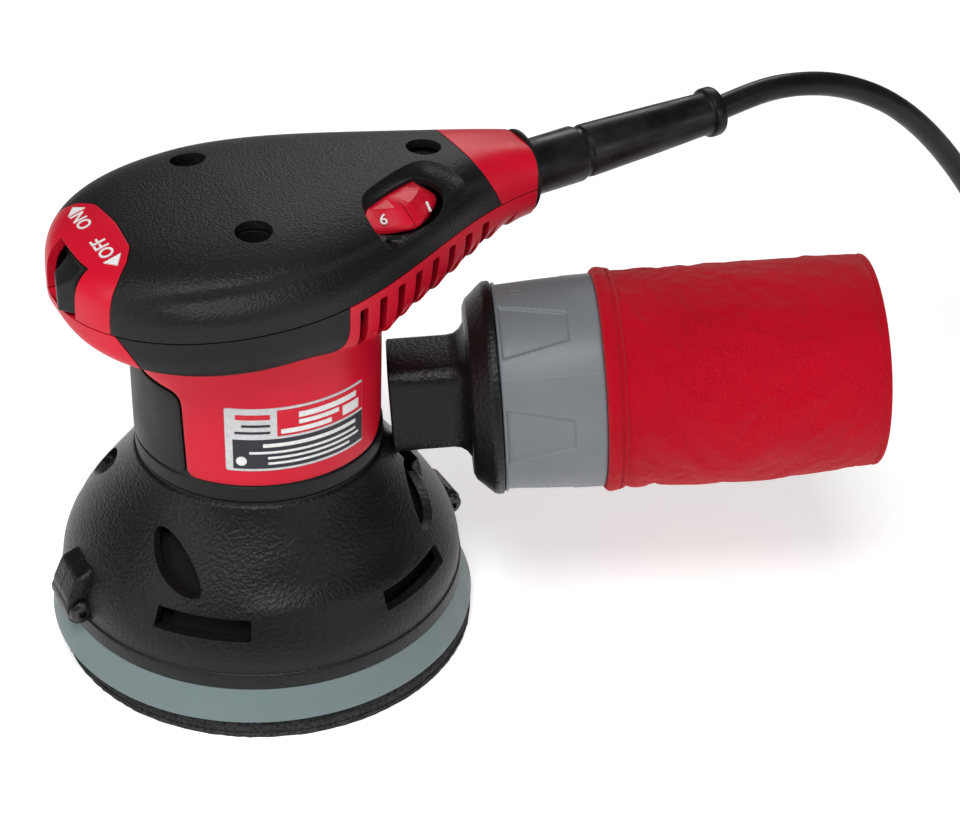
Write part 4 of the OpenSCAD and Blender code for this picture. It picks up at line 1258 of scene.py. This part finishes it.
def make_skirt():
    profile = fillet([(56.9, 20.3), (56.9, 16.3), (59.6, 16.3), (59.95, 16.1), (63.8, 7.0), (61.9, 7.0), (57.2, 15.8),
                      (54.9, 20.3)], [0, 0, 0, 0.8, 0.9, 0.9, 1, 0], 4)

    def wave(a, r, z):
        if z > 15:
            return 0.0
        low = (15 - z) / 8
        return low * 0.22 * noise.noise(Vector((2.2 * math.cos(math.radians(a)), 2.2 * math.sin(math.radians(a)), 3.1)))

    skirt = revolve("soft_skirt", profile, 192, shift=wave)
    dress(skirt, "skirt_grey", "housing", "dust_skirt", angle=50)


def make_pad():
    """Backing pad's hooked face and foam with a rough cut edge; dust holes right through."""
    def ragged(scale, depth):
        def shift(a, r, z):
            if r < 60:
                return 0.0
            p = Vector((scale * math.cos(math.radians(a)), scale * math.sin(math.radians(a)), z * 0.6))
            return depth * noise.noise(p)
        return shift
    at = Matrix.Translation((1.2, 0, 0))
    face = revolve("hook_layer", fillet([(0.5, 0.02), (62.4, 0.02), (62.4, 0.8), (62.3, 1.6), (0.5, 1.6)],
                                        [0, 0.3, 0, 0.2, 0], 2), 240, at, shift=ragged(26, 0.28))
    body = revolve("foam_layer", fillet([(0.5, 1.62), (61.9, 1.62), (62.2, 2.6), (61.9, 4.2), (61.4, 5.6), (60.8, 6.2),
                                         (0.5, 6.2)], [0, 0.3, 0.3, 0.3, 0.3, 0.3, 0], 2), 240, at, shift=ragged(14, 0.2))
    for piece in (face, body):
        for i in range(8):
            a = math.radians(22.5 + 45 * i)
            cut(piece, cylinder("hole", 5, -3, 9, at @ Matrix.Translation((32.5 * math.cos(a), 32.5 * math.sin(a), 0)), 40))
        for i in range(3):
            a = 2 * math.pi * i / 3
            cut(piece, cylinder("hole", 4.2, -3, 9, at @ Matrix.Translation((10 * math.cos(a), 10 * math.sin(a), 0)), 32))
    dress(face, "hook", "pad", "hook_face")
    dress(body, "pad_foam", "pad", "pad_foam")


DARK_STEEL = metal("dark_steel", (0.07, 0.07, 0.075), 0.3, 500)

# ------------------------------------------------------------------ dust duct and canister


def rounded_section(x, w, h, r, steps=6):
    ring = []
    for sy, sz, start in ((1, 1, 0), (-1, 1, 90), (-1, -1, 180), (1, -1, 270)):
        for k in range(steps + 1):
            a = math.radians(start + 90 * k / steps)
            ring.append((x, sy * (w / 2 - r) + r * math.cos(a), sz * (h / 2 - r) + r * math.sin(a)))
    return ring


def make_duct():
    flare = [(37.9, 22.8, 26.8, 4.4), (38.4, 24, 28, 5), (55.5, 24, 28, 5), (57.6, 24.8, 28.8, 5.4), (59.2, 27, 31, 6.5),
             (60.2, 30.2, 34, 8.2), (61.6, 35, 38, 12)]
    bar = loft("duct", [rounded_section(*s) for s in flare], DUCT)
    bell = fillet([(0, 60.6), (24.4, 60.6), (26.2, 61.4), (30.6, 66.2), (31.0, 67.2), (31.0, 68.9), (27.7, 68.9),
                   (27.7, 85.4), (27.1, 86), (0, 86)], [0, 1.5, 1.2, 1.6, 0.8, 0.5, 0, 0.3, 0.3, 0], 5)
    add(bar, revolve("bell", bell, 144, along_x(DUCT)))
    add(bar, box("foot", (37.9, 0, -20), (45, 10, 0), DUCT))
    cut(bar, loft("hollow", [rounded_section(x, 19.6, 23.6, 3.5) for x in (40.3, 66)], DUCT),
        revolve("bore", [(0, 62.6), (18.5, 62.6), (25.4, 68), (25.4, 90), (0, 90)], 96, along_x(DUCT)),
        box("foot_bore", (40.3, 2, -22), (43, 8, 0), DUCT))
    # small moulded catch on the bell's upper shoulder
    catch = DUCT @ Matrix.Rotation(math.radians(-36), 4, "X") @ Matrix.Translation((63.4, 0, 28.9)) @ Matrix.Rotation(
        math.radians(48), 4, "Y")
    cut(bar, box("slit", (-2.6, -0.7, -0.9), (2.2, 0.7, 2), catch))
    dress(bar, "shroud_black", "housing", "dust_duct")


def make_collar():
    """Twist collar with six moulded finger grips that taper towards the bag."""
    stations = [69.25 + (98 - 69.25) * i / 72 for i in range(73)]
    steps = 540
    facing = -123.6

    def depth(angle, x):
        if not 69.9 < x < 90.5:
            return 0.0
        part = (angle - facing + 3600) % 60 - 30
        half = 17.2 - (17.2 - 9.2) * (x - 70) / 19
        edge = min((half - abs(part)) * 0.54, 89.4 - x, (x - 70.0) * 3)
        return -0.85 * smooth(edge / 0.75)

    verts, faces = [], []
    for i, x in enumerate(stations):
        ease = 0.35 * (1 - smooth((x - 69.25) / 0.7)) + 0.35 * smooth((x - 97.5) / 0.5)
        for j in range(steps):
            a = 360 * j / steps
            r = 30.5 + 0.5 * (x - 69.25) / 28.75 + depth(a, x) - ease
            line = abs((a - facing + 2 + 180) % 180 - 90)
            r += 0.07 if line > 89.7 else 0.0
            verts.append((r * math.cos(math.radians(a)), r * math.sin(math.radians(a)), x))
    inner = [(29.3, 98.0), (29.3, 107.8), (27.3, 107.8), (27.3, 90.0), (28.05, 90.0), (28.05, 69.25)]
    for r, x in inner:
        verts += [(r * math.cos(2 * math.pi * j / steps), r * math.sin(2 * math.pi * j / steps), x) for j in range(steps)]
    rows = len(stations) + len(inner)
    for i in range(rows):
        k = (i + 1) % rows
        faces += [(i * steps + j, i * steps + (j + 1) % steps, k * steps + (j + 1) % steps, k * steps + j)
                  for j in range(steps)]
    collar = mesh("twist_collar", verts, faces, along_x(DUCT))
    dress(collar, "canister_grey", "canister", "canister_collar", angle=40)
    # raised generic arrow that shows the locked position
    outer = fillet([(-3.0, 0), (-1.4, -1.5), (2.8, -1.5), (2.8, 1.5), (-1.4, 1.5)], 0.5, 3)
    inner = fillet([(-2.1, 0), (-1.0, -0.95), (2.25, -0.95), (2.25, 0.95), (-1.0, 0.95)], 0.3, 3)

    def place(u, v, height):
        a = math.radians(facing - 58) + v / 30.6
        r = 30.45 + height
        return DUCT @ along_x().to_3x3().to_4x4() @ Vector((r * math.cos(a), r * math.sin(a), 75.5 + u))
    mark = patch("lock_mark", outer, place, 0.42, 1.5, [inner])
    dress(mark, "canister_grey", "canister")


BAG_START, BAG_END, BAG_R = 98.25, 176.6, 31.6


def pinned(obj, weights, frames, **settings):
    """Runs a cloth simulation on obj, pinned by its vertex weights, and keeps the result."""
    group = obj.vertex_groups.new(name="pin")
    for index, weight in weights.items():
        group.add([index], weight, "REPLACE")
    cloth = obj.modifiers.new("cloth", "CLOTH")
    s = cloth.settings
    s.vertex_group_mass = "pin"
    s.quality = 8
    s.mass = 0.002
    for key, value in settings.items():
        setattr(s, key, value)
    cloth.collision_settings.distance_min = 0.0005
    cloth.collision_settings.use_self_collision = False
    cloth.point_cache.frame_start, cloth.point_cache.frame_end = 1, frames
    scene = bpy.context.scene
    for f in range(1, frames + 1):
        scene.frame_set(f)
    settle(obj)
    scene.frame_set(1)
    obj.vertex_groups.clear()
    return obj


def make_bag():
    """Cotton bag: tube and end disc of one simulated sheet, rolled hem, bound end seam, stitches."""
    around = 160
    tube = [BAG_START + 4.6 + (BAG_END - BAG_START - 4.6) * i / 56 for i in range(57)]
    spots = [(BAG_R - 0.25 + 0.35 * math.sin(math.pi * i / 56) - 1.0 * smooth((i - 30) / 26), x) for i, x in enumerate(tube)]
    disc = [(spots[-1][0] * (1 - k / 12), BAG_END + 0.35 + 3.0 * math.sin(math.pi / 2 * k / 12)) for k in range(1, 12)]
    verts, faces = [], []
    for r, x in spots + disc:
        for j in range(around):
            a = 2 * math.pi * j / around
            rr = r + (0.12 * noise.noise(Vector((3 * math.cos(a), 3 * math.sin(a), x * 0.09))) if x < BAG_END - 1 else 0)
            verts.append((rr * math.cos(a), rr * math.sin(a), x))
    rows = len(spots) + len(disc)
    for i in range(rows - 1):
        faces += [(i * around + j, i * around + (j + 1) % around, (i + 1) * around + (j + 1) % around,
                   (i + 1) * around + j) for j in range(around)]
    verts.append((0, 0, BAG_END + 3.4))
    faces += [((rows - 1) * around + j, (rows - 1) * around + (j + 1) % around, len(verts) - 1) for j in range(around)]
    bag = mesh("cloth_bag", verts, faces, along_x(DUCT))
    uv = bag.data.uv_layers.new(name="weave")
    flat = [(j, i) for i in range(rows) for j in range(around)] + [(0, rows)]
    for poly in bag.data.polygons:
        columns = [flat[v][0] for v in poly.vertices]
        for loop in poly.loop_indices:
            v = bag.data.loops[loop].vertex_index
            if v < len(spots) * around and poly.vertices[0] < (len(spots) - 1) * around:
                j, i = flat[v]
                j = j + around if j == 0 and max(columns) == around - 1 else j
                uv.data[loop].uv = (j * 2 * math.pi * BAG_R / around, spots[i][1])
            else:
                x, y, _ = verts[v]
                uv.data[loop].uv = (x, y)
    weights = {}
    for i in range(rows):
        for j in range(around):
            if i < 2 or i in (len(spots) - 1, len(spots)):
                weights[i * around + j] = 1.0
    frame_tube = cylinder("inside_frame", 28.9, BAG_START + 8, BAG_END - 2.6, along_x(DUCT), 64)
    frame_tube.modifiers.new("hit", "COLLISION")
    frame_tube.collision.thickness_outer = 0.0005
    pinned(bag, weights, 26, shrink_min=-0.022, tension_stiffness=12, compression_stiffness=12, shear_stiffness=6,
           bending_stiffness=0.05, air_damping=2)
    bpy.data.objects.remove(frame_tube)
    mod = bag.modifiers.new("smooth", "SUBSURF")
    mod.levels = mod.render_levels = 1
    settle(bag)
    dress(bag, "bag_cloth", "canister", "dust_bag", angle=70)

    def soft(scale, depth):
        def shift(a, r, z):
            if r < 31.2:
                return 0.0
            p = Vector((scale * math.cos(math.radians(a)), scale * math.sin(math.radians(a)), z * 0.25))
            return depth * noise.noise(p)
        return shift

    hem_line = [(29.8, BAG_START), (31.6, BAG_START - 0.1), (32.45, BAG_START + 0.7), (32.6, BAG_START + 1.8),
                (32.35, BAG_START + 3.2), (32.1, BAG_START + 3.9), (31.95, BAG_START + 4.25), (32.15, BAG_START + 4.7),
                (31.9, BAG_START + 5.3), (31.3, BAG_START + 5.6), (29.9, BAG_START + 5.2)]
    hem = revolve("bag_hem", hem_line, 240, along_x(DUCT), shift=soft(9, 0.28))
    band_uv(hem, BAG_R)
    dress(hem, "bag_cloth", "canister", angle=60)
    r = spots[-1][0]
    welt = [(r - 0.4 + 0.75 * math.cos(t) * 1.25, BAG_END + 0.1 + 0.95 * math.sin(t))
            for t in (2 * math.pi * k / 12 for k in range(12))]
    seam = revolve("bag_seam", welt, 240, along_x(DUCT), shift=soft(5, 0.3))
    band_uv(seam, r)
    dress(seam, "bag_cloth", "canister", angle=60)
    stitches = stitch_ring("bag_stitches", 32.22, BAG_START + 4.0, 132)
    dress(stitches, THREAD, "canister", slot="bag_cloth")


def band_uv(obj, radius):
    """UVs in millimetres for a ring about the canister's axis."""
    uv = obj.data.uv_layers.new(name="weave")
    back = along_x(DUCT).inverted()
    for poly in obj.data.polygons:
        spots = [back @ (obj.data.vertices[v].co / MM) for v in poly.vertices]
        angles = [math.atan2(p.y, p.x) for p in spots]
        if max(angles) - min(angles) > math.pi:
            angles = [a + 2 * math.pi if a < 0 else a for a in angles]
        for loop, p, a in zip(poly.loop_indices, spots, angles):
            uv.data[loop].uv = (a * radius, p.z + math.hypot(p.x, p.y))


def stitch_ring(name, radius, x, count):
    """Short raised threads round the hem."""
    verts, faces = [], []
    pitch = 2 * math.pi / count
    for i in range(count):
        first = len(verts)
        for k, size in ((-0.3, 0.05), (-0.2, 0.2), (0.2, 0.2), (0.3, 0.05)):
            a = i * pitch + k * pitch
            for q in range(6):
                t = 2 * math.pi * q / 6
                r = radius + size * 0.6 * math.sin(t)
                verts.append((r * math.cos(a), r * math.sin(a), x + size * math.cos(t)))
        for s in range(3):
            faces += [(first + s * 6 + q, first + s * 6 + (q + 1) % 6, first + (s + 1) * 6 + (q + 1) % 6,
                       first + (s + 1) * 6 + q) for q in range(6)]
        faces += [tuple(first + q for q in range(6)), tuple(first + 18 + q for q in reversed(range(6)))]
    return mesh(name, verts, faces, along_x(DUCT))


make_motor_housing()
make_label()
make_shroud()
make_shroud_screws()
make_fan_shade_cone()
make_skirt()
make_pad()
make_duct()
make_collar()
make_bag()
